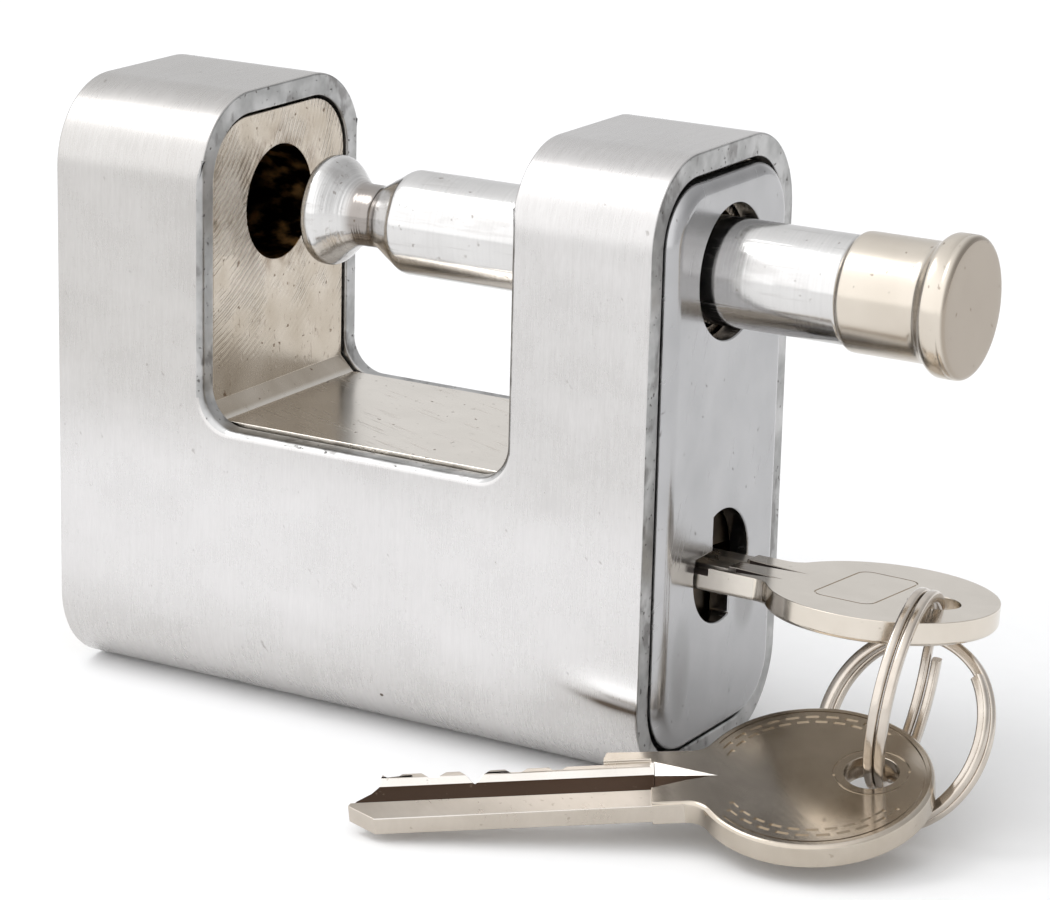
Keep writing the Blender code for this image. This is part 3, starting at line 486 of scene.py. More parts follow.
def key_nickel(name, low, high, roughness):
    nickel = Finish(name)
    haze = nickel.grain(240.0, 4.0)
    lines = nickel.grain((500.0, 2600.0, 900.0), 2.0, turn=(0.0, 0.0, 0.5), seed=4.0)
    nick = nickel.grain(1200.0, 2.0, seed=8.0).between(0.69, 0.76)
    nickel.paint(haze * 0.8 + lines * 0.2, low, high)
    # Painted light by height: the key up in the plug is painted lighter and the spare low near
    # the floor darker, as lit and shaded copies of one nickel.
    painted_light_by_height = nickel.z.between(0.0125, 0.0175)
    nickel.tint((1.0 - painted_light_by_height) * 0.18, (0.18, 0.135, 0.09))
    painted_lit_colour = tuple(min(part + 0.24, 0.97) for part in high)
    nickel.tint(painted_light_by_height * 0.28, painted_lit_colour)
    nickel.tint(nick * 0.35, (0.22, 0.17, 0.12))
    nickel.relief(haze * 0.5 + lines * 0.4 - nick * 0.4, 0.00001)
    return nickel.wear(roughness + haze * 0.08 + lines * 0.06)


def ring_wire():
    wire = Finish("nickel_ring_wire")
    haze = wire.grain(400.0, 3.0)
    wire.paint(haze, (0.46, 0.4, 0.34), (0.74, 0.68, 0.61))
    wire.relief(haze, 0.000008)
    return wire.wear(0.14 + haze * 0.1)


CAP_NICKEL = cap_nickel()
KEY_NICKEL = key_nickel("key_nickel_silver", (0.46, 0.4, 0.325), (0.72, 0.66, 0.58), 0.12)
KEY_CUT = key_nickel("milled_key_nickel", (0.5, 0.45, 0.385), (0.76, 0.7, 0.63), 0.22)
# The edge nickel is a painted highlight for the wide groove's far wall and the lower blade edge.
KEY_EDGE = key_nickel("key_edge_painted_highlight", (0.74, 0.7, 0.65), (0.92, 0.89, 0.85), 0.18)
# The groove nickel is painted nearly black as the shade down in the grooves.
KEY_GROOVE = key_nickel("key_groove_painted_shade", (0.02, 0.006, 0.003), (0.04, 0.016, 0.008), 0.42)
RING_WIRE = ring_wire()
print("Made", CAP_NICKEL.name, KEY_NICKEL.name, KEY_CUT.name, RING_WIRE.name)

# %% [markdown]
# ## Inner steel and plain brass
#
# Pins, springs, plug and cam sit in the dark. The pins, springs and cam still get a real
# finish, because they show when the part is taken apart. The plug is painted nearly black
# as the shade seen through the keyhole, and the bores nearly black as shade, with rust
# patches.

# %% Finishes for the inner pieces
def rusty_bore():
    metal = Finish("rusty_bore_painted_shade")
    rust = metal.grain((420.0, 700.0, 700.0), 4.0).between(0.42, 0.7)
    deep = metal.grain(240.0, 2.0, seed=4.0).between(0.36, 0.6)
    # Painted shade: nearly black inside the bore, with rust-brown patches where both noises
    # rise.
    metal.paint(rust * deep, (0.016, 0.008, 0.004), (0.6, 0.33, 0.12))
    metal.relief(rust, 0.00003)
    return metal.wear(0.32 + rust * 0.2)


def inner_finish(name, low, high, roughness):
    metal = Finish(name)
    haze = metal.grain(300.0, 3.0)
    oil = metal.grain(120.0, 2.0, seed=5.0).between(0.45, 0.7)
    metal.paint(haze - oil * 0.4, low, high)
    metal.relief(haze, 0.00001)
    return metal.wear(roughness + haze * 0.12 - oil * 0.06)


INNER_STEEL = inner_finish("oiled_inner_steel", (0.24, 0.23, 0.22), (0.5, 0.49, 0.48), 0.26)
BARE_BRASS = inner_finish("oiled_plain_brass", (0.34, 0.22, 0.09), (0.66, 0.47, 0.22), 0.24)
DARK_BORE = rusty_bore()
# The plug is painted nearly black as the shade seen through the keyhole.
DARK_PLUG = inner_finish("plug_brass_painted_shade", (0.02, 0.015, 0.01), (0.2, 0.15, 0.1), 0.3)
print("Made", INNER_STEEL.name, BARE_BRASS.name, DARK_BORE.name)

# %% [markdown]
# ## Solids from outlines
#
# Most of the lock is a flat outline pushed along one axis, with other such solids cut from
# it. `prism` makes the solid, and `carve` takes all cutters away in one exact Boolean. A
# narrow bevel with weighted normals then makes the edges catch light as filed edges do.

# %% Outlines, prisms, carving and bevels
def arc(centre, radius, start, end, steps):
    """Points on an arc, angles in degrees, both ends included."""
    turns = [math.radians(start + (end - start) * i / steps) for i in range(steps + 1)]
    return [(centre[0] + radius * math.cos(t), centre[1] + radius * math.sin(t)) for t in turns]


def tube_section(inset, steps=20):
    """The lock's cross-section in Y and Z, a rounded box, moved inwards by inset."""
    radius = CORNER_RADIUS - inset
    side = HALF_DEPTH - CORNER_RADIUS
    low, high = CORNER_RADIUS, HEIGHT - CORNER_RADIUS
    corners = ((side, low, -90.0), (side, high, 0.0), (-side, high, 90.0), (-side, low, 180.0))
    return [p for y, z, t in corners for p in arc((y, z), radius, t, t + 90.0, steps)]


def loft(loops):
    """A closed solid through loops of equal length."""
    shape = bmesh.new()
    rows = [[shape.verts.new(p) for p in loop] for loop in loops]
    for low, high in zip(rows, rows[1:]):
        for i in range(len(low)):
            j = (i + 1) % len(low)
            shape.faces.new((low[i], low[j], high[j], high[i]))
    shape.faces.new(rows[0])
    shape.faces.new(rows[-1])
    bmesh.ops.recalc_face_normals(shape, faces=shape.faces)
    mesh = bpy.data.meshes.new("shape")
    shape.to_mesh(mesh)
    shape.free()
    return mesh


def prism(outline, axis, low, high):
    """Push a flat outline along X, Y or Z."""
    turn = "XYZ".index(axis)
    return loft([[(*p[:turn], t, *p[turn:]) for p in outline] for t in (low, high)])


def plain_mesh(owner):
    """The evaluated object as a plain mesh."""
    owner.update_tag()
    view = bpy.context.evaluated_depsgraph_get()
    view.update()
    return bpy.data.meshes.new_from_object(owner.evaluated_get(view))


def show(data, name):
    """Put a mesh or a light into the scene."""
    made = bpy.data.objects.new(name, data)
    scene.collection.objects.link(made)
    return made


def modify(mesh, kind, **settings):
    """The mesh after one modifier with these settings."""
    block = show(mesh, "block")
    step = block.modifiers.new("step", kind)
    for name, value in settings.items():
        setattr(step, name, value)
    changed = plain_mesh(block)
    bpy.data.objects.remove(block)
    return changed


def carve(mesh, cutters):
    """Take every cutter away in one exact Boolean."""
    group = bpy.data.collections.new("cutters")
    tools = [bpy.data.objects.new("cutter", cutter) for cutter in cutters]
    for tool in tools:
        group.objects.link(tool)
    kept = {"operation": "DIFFERENCE", "solver": "EXACT", "operand_type": "COLLECTION"}
    carved = modify(mesh, "BOOLEAN", **kept, collection=group)
    for tool in tools:
        bpy.data.objects.remove(tool)
    bpy.data.collections.remove(group)
    return carved


def ease_edges(mesh, width, segments=2, limit=35.0):
    """Round every edge sharper than the limit and keep the flats flat."""
    kept = {"width": width, "segments": segments, "limit_method": "ANGLE"}
    kept["angle_limit"] = math.radians(limit)
    eased = modify(mesh, "BEVEL", **kept, use_clamp_overlap=False)
    eased.shade_smooth()
    return eased


def skin(mesh, name, body, nodes, finishes, choose=None):
    """Finish a mesh as a named piece that stands for its solids and rides on their body."""
    mesh.materials.clear()
    for finish in finishes:
        mesh.materials.append(finish)
    for face in mesh.polygons:
        face.material_index = choose(face) if choose else 0
    made = show(modify(mesh, "WEIGHTED_NORMAL", keep_sharp=True), name)
    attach(made, body)
    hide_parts(*nodes)
    print(name, len(made.data.polygons), "faces")


# %% [markdown]
# ## The jacket
#
# A rounded box tube with a U-shaped notch through both of its legs. The notch's lower
# corners are round, and its rim is chamfered on the outside. Faces on the tube's outer
# surface get the brushed finish, and all others get the sawn one: the distance from the
# section's outline tells them apart.

# %% Jacket
def notch_outline(grow):
    """The jacket's notch in X and Z."""
    left, right, floor = NOTCH_LEFT - grow, NOTCH_RIGHT + grow, NOTCH_FLOOR - grow
    radius, top = NOTCH_RADIUS, HEIGHT + 0.002
    level = floor + radius
    points = [(left, top)] + arc((left + radius, level), radius, 180.0, 270.0, 14)
    return points + arc((right - radius, level), radius, 270.0, 360.0, 14) + [(right, top)]


def below_skin(y, z):
    """How deep a point lies under the tube's outer surface."""
    a = abs(y) - (HALF_DEPTH - CORNER_RADIUS)
    b = abs(z - HEIGHT / 2) - (HEIGHT / 2 - CORNER_RADIUS)
    return CORNER_RADIUS - math.hypot(max(a, 0.0), max(b, 0.0)) - min(max(a, b), 0.0)


def jacket_mesh():
    tube = prism(tube_section(0.0, 28), "X", jacket_low.x, jacket_high.x)
    reach = HALF_DEPTH + 0.001
    cuts = [
        prism(tube_section(JACKET_WALL, 28), "X", jacket_low.x - 0.001, jacket_high.x + 0.001),
        prism(notch_outline(0.0), "Y", -reach, reach),
    ]
    for side in (-1.0, 1.0):
        outer, inner = side * (HALF_DEPTH + NOTCH_BEVEL), side * (HALF_DEPTH - NOTCH_BEVEL)
        wide = [(x, outer, z) for x, z in notch_outline(2 * NOTCH_BEVEL)]
        cuts.append(loft([wide, [(x, inner, z) for x, z in notch_outline(0.0)]]))
    return ease_edges(carve(tube, cuts), 0.00022)


def is_sawn(face):
    """0 on the tube's outer surface and 1 where it was cut."""
    outside = below_skin(face.center.y, face.center.z) < 0.0001
    return 0 if outside and abs(face.normal.x) < 0.5 else 1


METALS = [JACKET_STEEL, SAWN_STEEL]
skin(jacket_mesh(), "jacket_shell", "lock", ["jacket"], METALS, is_sawn)

# %% [markdown]
# ## The brass body
#
# It fills the jacket with a hair of a gap. Only its ends and the notch show, and the notch
# has 45 degree corners below where the jacket's are round. The bolt's bore goes in from
# the right and stops short of the left end, and the pawl's slot opens into it from below.

# %% Lock body
def body_notch():
    left, right = NOTCH_LEFT - BODY_STEP, NOTCH_RIGHT + BODY_STEP
    floor, top = NOTCH_FLOOR + BODY_STEP, HEIGHT + 0.002
    return [
        (left, top), (left, floor + BODY_CHAMFER), (left + BODY_CHAMFER, floor),
        (right - BODY_CHAMFER, floor), (right, floor + BODY_CHAMFER), (right, top),
    ]


def circle(centre, radius, steps=64):
    return arc(centre, radius, 0.0, 360.0 - 360.0 / steps, steps - 1)


def pawl_slot():
    half, top = pawl_high.y + FIT_GAP, BOLT_HEIGHT + 0.001
    outline = [(-half, -0.001), (half, -0.001), (half, top), (-half, top)]
    return prism(outline, "X", pawl_low.x - FIT_GAP, pawl_high.x + FIT_GAP)


def body_mesh():
    left, right = body_low.x, body_high.x
    block = prism(tube_section(JACKET_WALL + FIT_GAP), "X", left, right)
    cuts = [
        prism(body_notch(), "Y", -HALF_DEPTH, HALF_DEPTH),
        prism(circle((0.0, BOLT_HEIGHT), BORE_RADIUS), "X", left + 0.001, right + 0.001),
        prism(circle((0.0, PLUG_HEIGHT), PLUG_BORE_RADIUS), "X", PLUG_REAR, right + 0.001),
        pawl_slot(),
    ]
    return ease_edges(carve(block, cuts), 0.0001)


BODY_MESH = body_mesh()


def in_bore(face):
    """1 inside the two bores, painted nearly black as shade, with rust-brown patches."""
    points = [BODY_MESH.vertices[i].co for i in face.vertices]
    for height, radius in ((BOLT_HEIGHT, BORE_RADIUS), (PLUG_HEIGHT, PLUG_BORE_RADIUS)):
        if all(math.hypot(p.y, p.z - height) < radius + 0.00003 for p in points):
            return 1
    return 0


METALS = [PLATED_BRASS, DARK_BORE]
skin(BODY_MESH, "brass_body", "lock", ["lock_body"], METALS, in_bore)

# %% [markdown]
# ## The end plate
#
# A hardened plate with a pillowed rim lies in the jacket's end. It has a round hole for
# the bolt, and an S-shaped keyhole: the slot of the key, swept through a quarter turn.

# %% End plate
def keyhole_outline():
    slot = KEYHOLE_SLOT / 2
    edge = math.degrees(math.asin(slot / KEYHOLE_RADIUS))
    upper = arc((0.0, PLUG_HEIGHT), KEYHOLE_RADIUS, -edge, 90.0 + edge, 24)
    lower = arc((0.0, PLUG_HEIGHT), KEYHOLE_RADIUS, 180.0 - edge, 270.0 + edge, 24)
    return upper + [(-slot, PLUG_HEIGHT + slot)] + lower + [(slot, PLUG_HEIGHT - slot)]


def plate_mesh():
    base = JACKET_WALL + FIT_GAP + 0.00012
    straight = plate_high.x - PLATE_ROUNDING
    loops = [[(plate_low.x, y, z) for y, z in tube_section(base)]]
    steps = 12
    for step in range(steps + 1):
        turn = math.pi / 2 * step / steps
        inset = base + PLATE_ROUNDING * (1.0 - math.cos(turn))
        x = straight + PLATE_ROUNDING * math.sin(turn)
        loops.append([(x, y, z) for y, z in tube_section(inset)])
    holes = circle((0.0, BOLT_HEIGHT), PLATE_HOLE_RADIUS), keyhole_outline()
    cuts = [prism(hole, "X", plate_low.x - 0.001, plate_high.x + 0.001) for hole in holes]
    return ease_edges(carve(loft(loops), cuts), 0.00018, 3, 40.0)


skin(plate_mesh(), "hardened_end_plate", "lock", ["end_plate"], [PLATE_STEEL])

# %% [markdown]
# ## Turned pieces with Geometry Nodes
#
# The bolt and its cap come off a lathe: a profile goes once round an axis. In Geometry
# Nodes a circle is the path and the profile is swept along it. The tree takes the profile
# as an object and has named inputs for the path's radius, the steps and the finish, so
# both pieces share it.

# %% The lathe tree
PATH_RADIUS = 0.001


def new_tree(name, inputs):
    """An empty Geometry Nodes tree with named inputs, and the identifier of each."""
    group = bpy.data.node_groups.new(name, "GeometryNodeTree")
    keys = {}
    for label, kind in inputs.items():
        kind = "NodeSocket" + kind
        socket = group.interface.new_socket(label, in_out="INPUT", socket_type=kind)
        keys[label] = socket.identifier
    group.interface.new_socket("Geometry", in_out="OUTPUT", socket_type="NodeSocketGeometry")
    tree = Tree(group)
    source = tree.add("NodeGroupInput").socket.node
    given = {label: Signal(tree, source.outputs[label]) for label in keys}
    return group, tree, keys, given


def close_tree(tree, shape, finish):
    """Realize the shape, give it its finish and send it out."""
    real = tree.add("GeometryNodeRealizeInstances", values={0: shape})
    done = tree.add("GeometryNodeSetMaterial", values={"Geometry": real, "Material": finish})
    tree.add("NodeGroupOutput", values={"Geometry": done})


def lathe_tree():
    inputs = {"Profile": "Object", "Path Radius": "Float", "Steps": "Int", "Finish": "Material"}
    group, tree, keys, given = new_tree("lathe", inputs)
    line = {"Object": given["Profile"]}
    source = tree.add("GeometryNodeObjectInfo", values=line, output="Geometry")
    profile = tree.add("GeometryNodeMeshToCurve", values={"Mesh": source})
    round_path = {"Resolution": given["Steps"], "Radius": given["Path Radius"]}
    path = tree.add("GeometryNodeCurvePrimitiveCircle", values=round_path)
    level_path = tree.add("GeometryNodeSetCurveNormal", {"mode": "Z_UP"}, {"Curve": path})
    curves = {"Curve": level_path, "Profile Curve": profile}
    swept = {"Geometry": tree.add("GeometryNodeCurveToMesh", values=curves), "Distance": 1e-6}
    closed = tree.add("GeometryNodeMergeByDistance", values=swept)
    close_tree(tree, closed, given["Finish"])
    return group, keys


LATHE, LATHE_KEYS = lathe_tree()


def run_tree(group, keys, values, place):
    """Evaluate a tree once and keep its result as a plain mesh, moved to its place."""
    holder = show(bpy.data.meshes.new("holder"), "holder")
    step = holder.modifiers.new("make", "NODES")
    step.node_group = group
    for label, value in values.items():
        step[keys[label]] = value
    mesh = plain_mesh(holder)
    bpy.data.objects.remove(holder)
    mesh.transform(place)
    shape = bmesh.new()
    shape.from_mesh(mesh)
    bmesh.ops.remove_doubles(shape, verts=shape.verts, dist=1e-6)
    bmesh.ops.recalc_face_normals(shape, faces=shape.faces)
    shape.to_mesh(mesh)
    shape.free()
    mesh.shade_smooth()
    return mesh


def turn_profile(profile, start, finish):
    """Turn (x, radius) points round the bolt's axis."""
    points = [(radius - PATH_RADIUS, -x, 0.0) for x, radius in profile]
    line = bpy.data.meshes.new("profile")
    line.from_pydata(points, [(i, i + 1) for i in range(len(points) - 1)], [])
    holder = show(line, "profile")
    values = {"Profile": holder, "Path Radius": PATH_RADIUS, "Steps": 128, "Finish": finish}
    place = shift(start, 0.0, BOLT_HEIGHT) @ spin(90.0, "Y")
    mesh = run_tree(LATHE, LATHE_KEYS, values, place)
    bpy.data.objects.remove(holder)
    return mesh


print("Lathe inputs:", list(LATHE_KEYS))

# %% [markdown]
# ## The bolt
#
# Its inner end flares like a trumpet and narrows to a waist that the locking pawl grips.
# The flare is a stretched cosine, and the far side of the waist is a plain cone. The tip
# stands a little further out than the solid's.

# %% Bolt
BOLT_RADIUS = 0.005
HEAD_RADIUS = 0.0053
WAIST_RADIUS = 0.003
STUB_RADIUS = 0.0036
FLARE_START, FLARE_LENGTH = 0.0012, 0.0036
CONE_START = 0.0062
BOLT_START = bolt_low.x - 0.0009


def bolt_profile():
    length = bolt_high.x - BOLT_START
    shoulder = cap_low.x - 0.0001 - BOLT_START
    points = [(0.0, 0.0), (0.0, 0.0036), (0.0, 0.0046), (0.00008, 0.0048), (0.00025, 0.0051)]
    points += [(0.0005, 0.00524), (0.0008, HEAD_RADIUS), (FLARE_START, HEAD_RADIUS)]
    for share in (step / 28 for step in range(1, 29)):
        swell = 0.5 + 0.5 * math.cos(math.pi * share ** 0.87)
        radius = WAIST_RADIUS + (HEAD_RADIUS - WAIST_RADIUS) * swell
        points.append((FLARE_START + FLARE_LENGTH * share, radius))
    points += [(0.0054, WAIST_RADIUS), (CONE_START, WAIST_RADIUS)]
    for share in (step / 8 for step in range(1, 9)):
        points.append((CONE_START + 0.0011 * share, WAIST_RADIUS + 0.0004 * share * share))
    points += [(0.0083, 0.00402), (0.0093, 0.00462), (0.0097, 0.00485), (0.0099, 0.00494)]
    points += [(0.0102, BOLT_RADIUS), (0.0106, BOLT_RADIUS), (shoulder - 0.0003, BOLT_RADIUS)]
    points += [(shoulder, BOLT_RADIUS - 0.0003), (shoulder, STUB_RADIUS)]
    return points + [(length, STUB_RADIUS), (length, 0.0)]


bolt_shape = turn_profile(bolt_profile(), BOLT_START, BOLT_STEEL)
skin(bolt_shape, "sliding_bolt", "bolt", ["shackle_bolt"], [BOLT_STEEL])

# %% [markdown]
# ## The cap
#
# A sleeve pressed over the bolt's outer end, with a collar to pull by. A fine groove
# follows the collar's rounded edge.

# %% Cap
CAP_RADIUS = 0.0055
FLANGE_RADIUS = 0.0065
COLLAR_START = 0.0074


def cap_profile():
    end = cap_high.x - cap_low.x
    points = [(0.006, 0.0), (0.006, 0.0037), (0.0, 0.0037), (0.0, CAP_RADIUS - 0.0005)]
    points += [(0.00012, CAP_RADIUS - 0.0002), (0.0004, CAP_RADIUS - 0.00003)]
    points += [(0.0007, CAP_RADIUS), (COLLAR_START - 0.0004, CAP_RADIUS)]
    for share in (step / 14 for step in range(1, 15)):
        rise = 0.5 - 0.5 * math.cos(math.pi * share)
        radius = CAP_RADIUS + (FLANGE_RADIUS - CAP_RADIUS) * rise
        points.append((COLLAR_START + 0.0017 * share, radius))
    points += [(end - 0.00085, FLANGE_RADIUS), (end - 0.00078, FLANGE_RADIUS - 0.00005)]
    points += [(end - 0.0007, FLANGE_RADIUS - 0.00001)]
    points += arc((end - 0.0006, FLANGE_RADIUS - 0.0006), 0.0006, 90.0, 0.0, 8)
    return points + [(end, 0.005), (end, 0.0)]


cap_shape = turn_profile(cap_profile(), cap_low.x, CAP_NICKEL)
skin(cap_shape, "pull_cap", "bolt", ["bolt_cap"], [CAP_NICKEL])

# %% [markdown]
# ## Split rings with Geometry Nodes
#
# A split ring is flat wire wound twice round, side by side, which crosses over once. Its
# path is a rule: the angle grows evenly, and the wire slides from one side to the other
# over a short stretch. The tree bends a straight line with that rule, lays a small
# rounded section along it, and closes the ends.

# %% The ring tree
RING_RADIUS = 0.008793
WIRE_WIDE = 0.00086
WIRE_DEEP = 0.0011
SPLIT_GAP = 0.00012
CROSSING = math.radians(26.0)


def ring_tree():
    numbers = ("Radius", "Wire Wide", "Wire Deep", "Gap", "Crossing", "Start")
    inputs = {**dict.fromkeys(numbers, "Float"), "Steps": "Int", "Finish": "Material"}
    group, tree, keys, given = new_tree("split_ring", inputs)
    line = tree.add("GeometryNodeCurvePrimitiveLine")
    wanted = {"Curve": line, "Count": given["Steps"]}
    steps = tree.add("GeometryNodeResampleCurve", values=wanted)
    share = tree.add("GeometryNodeSplineParameter", output="Factor")
    crossing = given["Crossing"]
    angle = crossing + share * (4.0 * math.pi - crossing * 2.0)
    over = (angle - (math.tau - crossing)) / (crossing * 2.0)
    height = (over.between(0.0, 1.0) - 0.5) * (given["Wire Wide"] + given["Gap"])
    turn = angle + given["Start"]
    across, along = turn.cosine() * given["Radius"], turn.sine() * given["Radius"]
    place = tree.add("ShaderNodeCombineXYZ", values={0: across, 1: along, 2: height})
    bent = tree.add("GeometryNodeSetPosition", values={"Geometry": steps, "Position": place})
    path = tree.add("GeometryNodeSetCurveNormal", {"mode": "Z_UP"}, {"Curve": bent})
    sides = {"Width": given["Wire Deep"], "Height": given["Wire Wide"]}
    section = tree.add("GeometryNodeCurvePrimitiveQuadrilateral", values=sides)
    rounding = {"Curve": section, "Count": 4, "Radius": given["Wire Wide"] * 0.34}
    fillet = tree.add("GeometryNodeFilletCurve", {"mode": "POLY"}, rounding)
    curves = {"Curve": path, "Profile Curve": fillet, "Fill Caps": True}
    wire = tree.add("GeometryNodeCurveToMesh", values=curves)
    close_tree(tree, wire, given["Finish"])
    return group, keys


SPLIT_RING, RING_KEYS = ring_tree()
print("Ring inputs:", list(RING_KEYS))

# %% [markdown]
# ## Where the rings hang
#
# One ring hangs from the key in the plug and leans against the spare key. The other runs
# through the first one and the spare. Each place is the ring's centre, and each axis is a
# compass angle and a rise.

# %% Front and rear ring
def ring(name, node, place, azimuth, rise, start):
    azimuth, rise, start = (math.radians(a) for a in (azimuth, rise, start))
    level = math.cos(rise)
    axis = Vector((level * math.cos(azimuth), level * math.sin(azimuth), math.sin(rise)))
    side = axis.cross(Vector((0.0, 0.0, 1.0))).normalized()
    up = axis.cross(side)
    values = {
        "Radius": RING_RADIUS, "Wire Wide": WIRE_WIDE, "Wire Deep": WIRE_DEEP, "Gap": SPLIT_GAP,
        "Crossing": CROSSING, "Start": start, "Steps": 360, "Finish": RING_WIRE,
    }
    mesh = run_tree(SPLIT_RING, RING_KEYS, values, shift(*place) @ columns(side, up, axis))
    skin(mesh, name, "plug_and_key", [node], [RING_WIRE])


FRONT_PLACE, REAR_PLACE = (0.055652, -0.00642, 0.013154), (0.054939, -0.004746, 0.008776)
ring("split_ring_front", "front_key_ring", FRONT_PLACE, 9.69, -6.62, 208.0)
ring("split_ring_rear", "rear_key_ring", REAR_PLACE, 73.91, -28.31, 286.0)

# %% [markdown]
# ## The keys
#
# Both keys are the same blank: a round bow, a thinner blade with one wide groove on one
# face and two narrow ones on the other, and five cuts. The blank is lofted, so that the
# bow's upper edge can be rounded more than the rest. It is made once, lying flat with its
# shoulder at the origin, and placed twice.

# %% Sizes and outline of the key
BLADE_LENGTH = 0.0227
BLADE_HALF = 0.00335
BLADE_RECESS = 0.00025
KEY_HALF = 0.0011
TAB_HALF = 0.0049
NECK_START = 0.0042
BOW_RADIUS = 0.0107
BOW_CENTRE = 0.0186
BOW_FILLET = 0.002
HOLE_OFFSET = 0.0051
HOLE_RADIUS = 0.00245
CUT_DEPTHS = (0.0004, 0.0006, 0.0013, 0.0007, 0.0005)
CUT_START = 0.0041
CUT_PITCH = 0.0037
CUT_FLAT = 0.0004
TIP = -BLADE_LENGTH - 0.001


def bow_fillet(half, side):
    """The soft corner where a straight edge runs into the round bow."""
    reach = math.sqrt((BOW_RADIUS + BOW_FILLET) ** 2 - (half + BOW_FILLET) ** 2)
    centre = (BOW_CENTRE - reach, side * (half + BOW_FILLET))
    lean = math.degrees(math.atan2(half + BOW_FILLET, reach))
    if side < 0:
        return arc(centre, BOW_FILLET, 90.0, lean, 8)
    return arc(centre, BOW_FILLET, -lean, -90.0, 8)


def key_outline():
    tip = -BLADE_LENGTH
    points = [(tip, -0.0012), (tip + 0.0024, -BLADE_HALF)]
    lower, upper = bow_fillet(BLADE_HALF, -1.0), bow_fillet(TAB_HALF, 1.0)
    start = math.degrees(math.atan2(lower[-1][1], lower[-1][0] - BOW_CENTRE))
    end = math.degrees(math.atan2(upper[0][1], upper[0][0] - BOW_CENTRE))
    points += lower + arc((BOW_CENTRE, 0.0), BOW_RADIUS, start, end, 96)[1:-1] + upper
    points += [(0.0003, TAB_HALF), (0.0, TAB_HALF - 0.0009), (0.0, BLADE_HALF)]
    for index, depth in enumerate(CUT_DEPTHS):
        place = -CUT_START - CUT_PITCH * index
        root, flat = BLADE_HALF - depth, CUT_FLAT if depth < 0.001 else CUT_FLAT / 5.0
        points += [(place + flat + depth, BLADE_HALF), (place + flat, root)]
        points += [(place - flat, root), (place - flat - depth, BLADE_HALF)]
    points += [(tip + 0.0026, BLADE_HALF - 0.0012), (tip + 0.00195, 0.0012)]
    return points + [(tip + 0.00065, 0.00012)]


print("Key outline:", len(key_outline()), "points")

# %% [markdown]
# ## The blank and what is cut into it
#
# The hole and the grooves are cut first, and then the edges are eased. The stamped marks
# stay crisp, so they come off afterwards, in a Boolean of their own. They are shallow: a
# line inside the rim, a broken border of small dashes, a ring round the hole, and on the
# other face one plain rounded frame. Each is a thin cutter.

# %% Key blank, stamped lines and grooves
BOW_EDGE = ((0.00042, 0.0), (0.00025, 0.00006), (0.0001, 0.00018), (0.0, 0.00036))
HOLE_CENTRE = (BOW_CENTRE + HOLE_OFFSET, 0.0)
DASH_ROWS = ((0.009, 38.0), (0.0082, 44.0))
DASH_PITCH, DASH_TURN = 11.5, 7.6
FRAME_LINES = (
    (-3.4, -5.6, 0.1, -5.6), (0.1, 5.6, -3.4, 5.6),
    (-4.6, 4.4, -4.6, -4.4), (1.3, -4.4, 1.3, 4.4),
)
FRAME_CORNERS = ((-3.4, 4.4, 90.0), (0.1, 4.4, 0.0), (0.1, -4.4, -90.0), (-3.4, -4.4, 180.0))
OUTSIDE, WIDE_FLOOR, NARROW_DEPTH = 0.002, 0.00035, 0.0007


def rounded_blank():
    """The outline between its two faces, with a round upper edge along the bow."""
    outline = key_outline()
    loops = [[(x, y, -KEY_HALF) for x, y in outline]]
    for level, inset in BOW_EDGE:
        loop = []
        for i, (x, y) in enumerate(outline):
            (ax, ay), (bx, by) = outline[i - 1], outline[(i + 1) % len(outline)]
            run = math.hypot(bx - ax, by - ay)
            share = min(max((x - 0.0055) / 0.002, 0.0), 1.0) * inset / run
            loop.append((x - (by - ay) * share, y + (bx - ax) * share, KEY_HALF - level))
        loops.append(loop)
    return loft(loops)


def groove(outline, side, depth):
    """A cutter that sinks an outline into one face of the key."""
    low, high = side * (KEY_HALF - depth), side * OUTSIDE
    return prism(outline, "Z", min(low, high), max(low, high))


def band(centre, radius, width, start, end, side, depth, steps):
    """A cutter for a stamped line along an arc."""
    outer = arc(centre, radius + width / 2, start, end, steps)
    inner = arc(centre, radius - width / 2, end, start, steps)
    return groove(outer + inner, side, depth)


def frame_line(a, b, c, d):
    """A cutter for one straight side of the frame, with its ends in millimetres."""
    run = math.hypot(c - a, d - b) / 0.09
    px, py = (b - d) / run, (c - a) / run
    line = [(a + px, b + py), (c + px, d + py), (c - px, d - py), (a - px, b - py)]
    return groove([(BOW_CENTRE + x / 1000, y / 1000) for x, y in line], -1.0, 0.0001)


def stamped_marks():
    bow = (BOW_CENTRE, 0.0)
    marks = [band(bow, 0.00985, 0.00016, -146.0, 146.0, 1.0, 0.00014, 80)]
    for turn in (0.0, 180.0):
        marks.append(band(HOLE_CENTRE, 0.00335, 0.00022, turn, turn + 179.0, 1.0, 0.00012, 32))
    for turned in range(10):
        for side in (-1.0, 1.0):
            for radius, first in DASH_ROWS:
                start = side * (first + DASH_PITCH * turned)
                end = start + side * DASH_TURN
                marks.append(band(bow, radius, 0.00042, start, end, 1.0, 0.00013, 3))
    marks += [frame_line(*ends) for ends in FRAME_LINES]
    for x, y, start in FRAME_CORNERS:
        place = (BOW_CENTRE + x / 1000, y / 1000)
        marks.append(band(place, 0.0012, 0.00018, start, start + 90.0, -1.0, 0.0001, 8))
    return marks


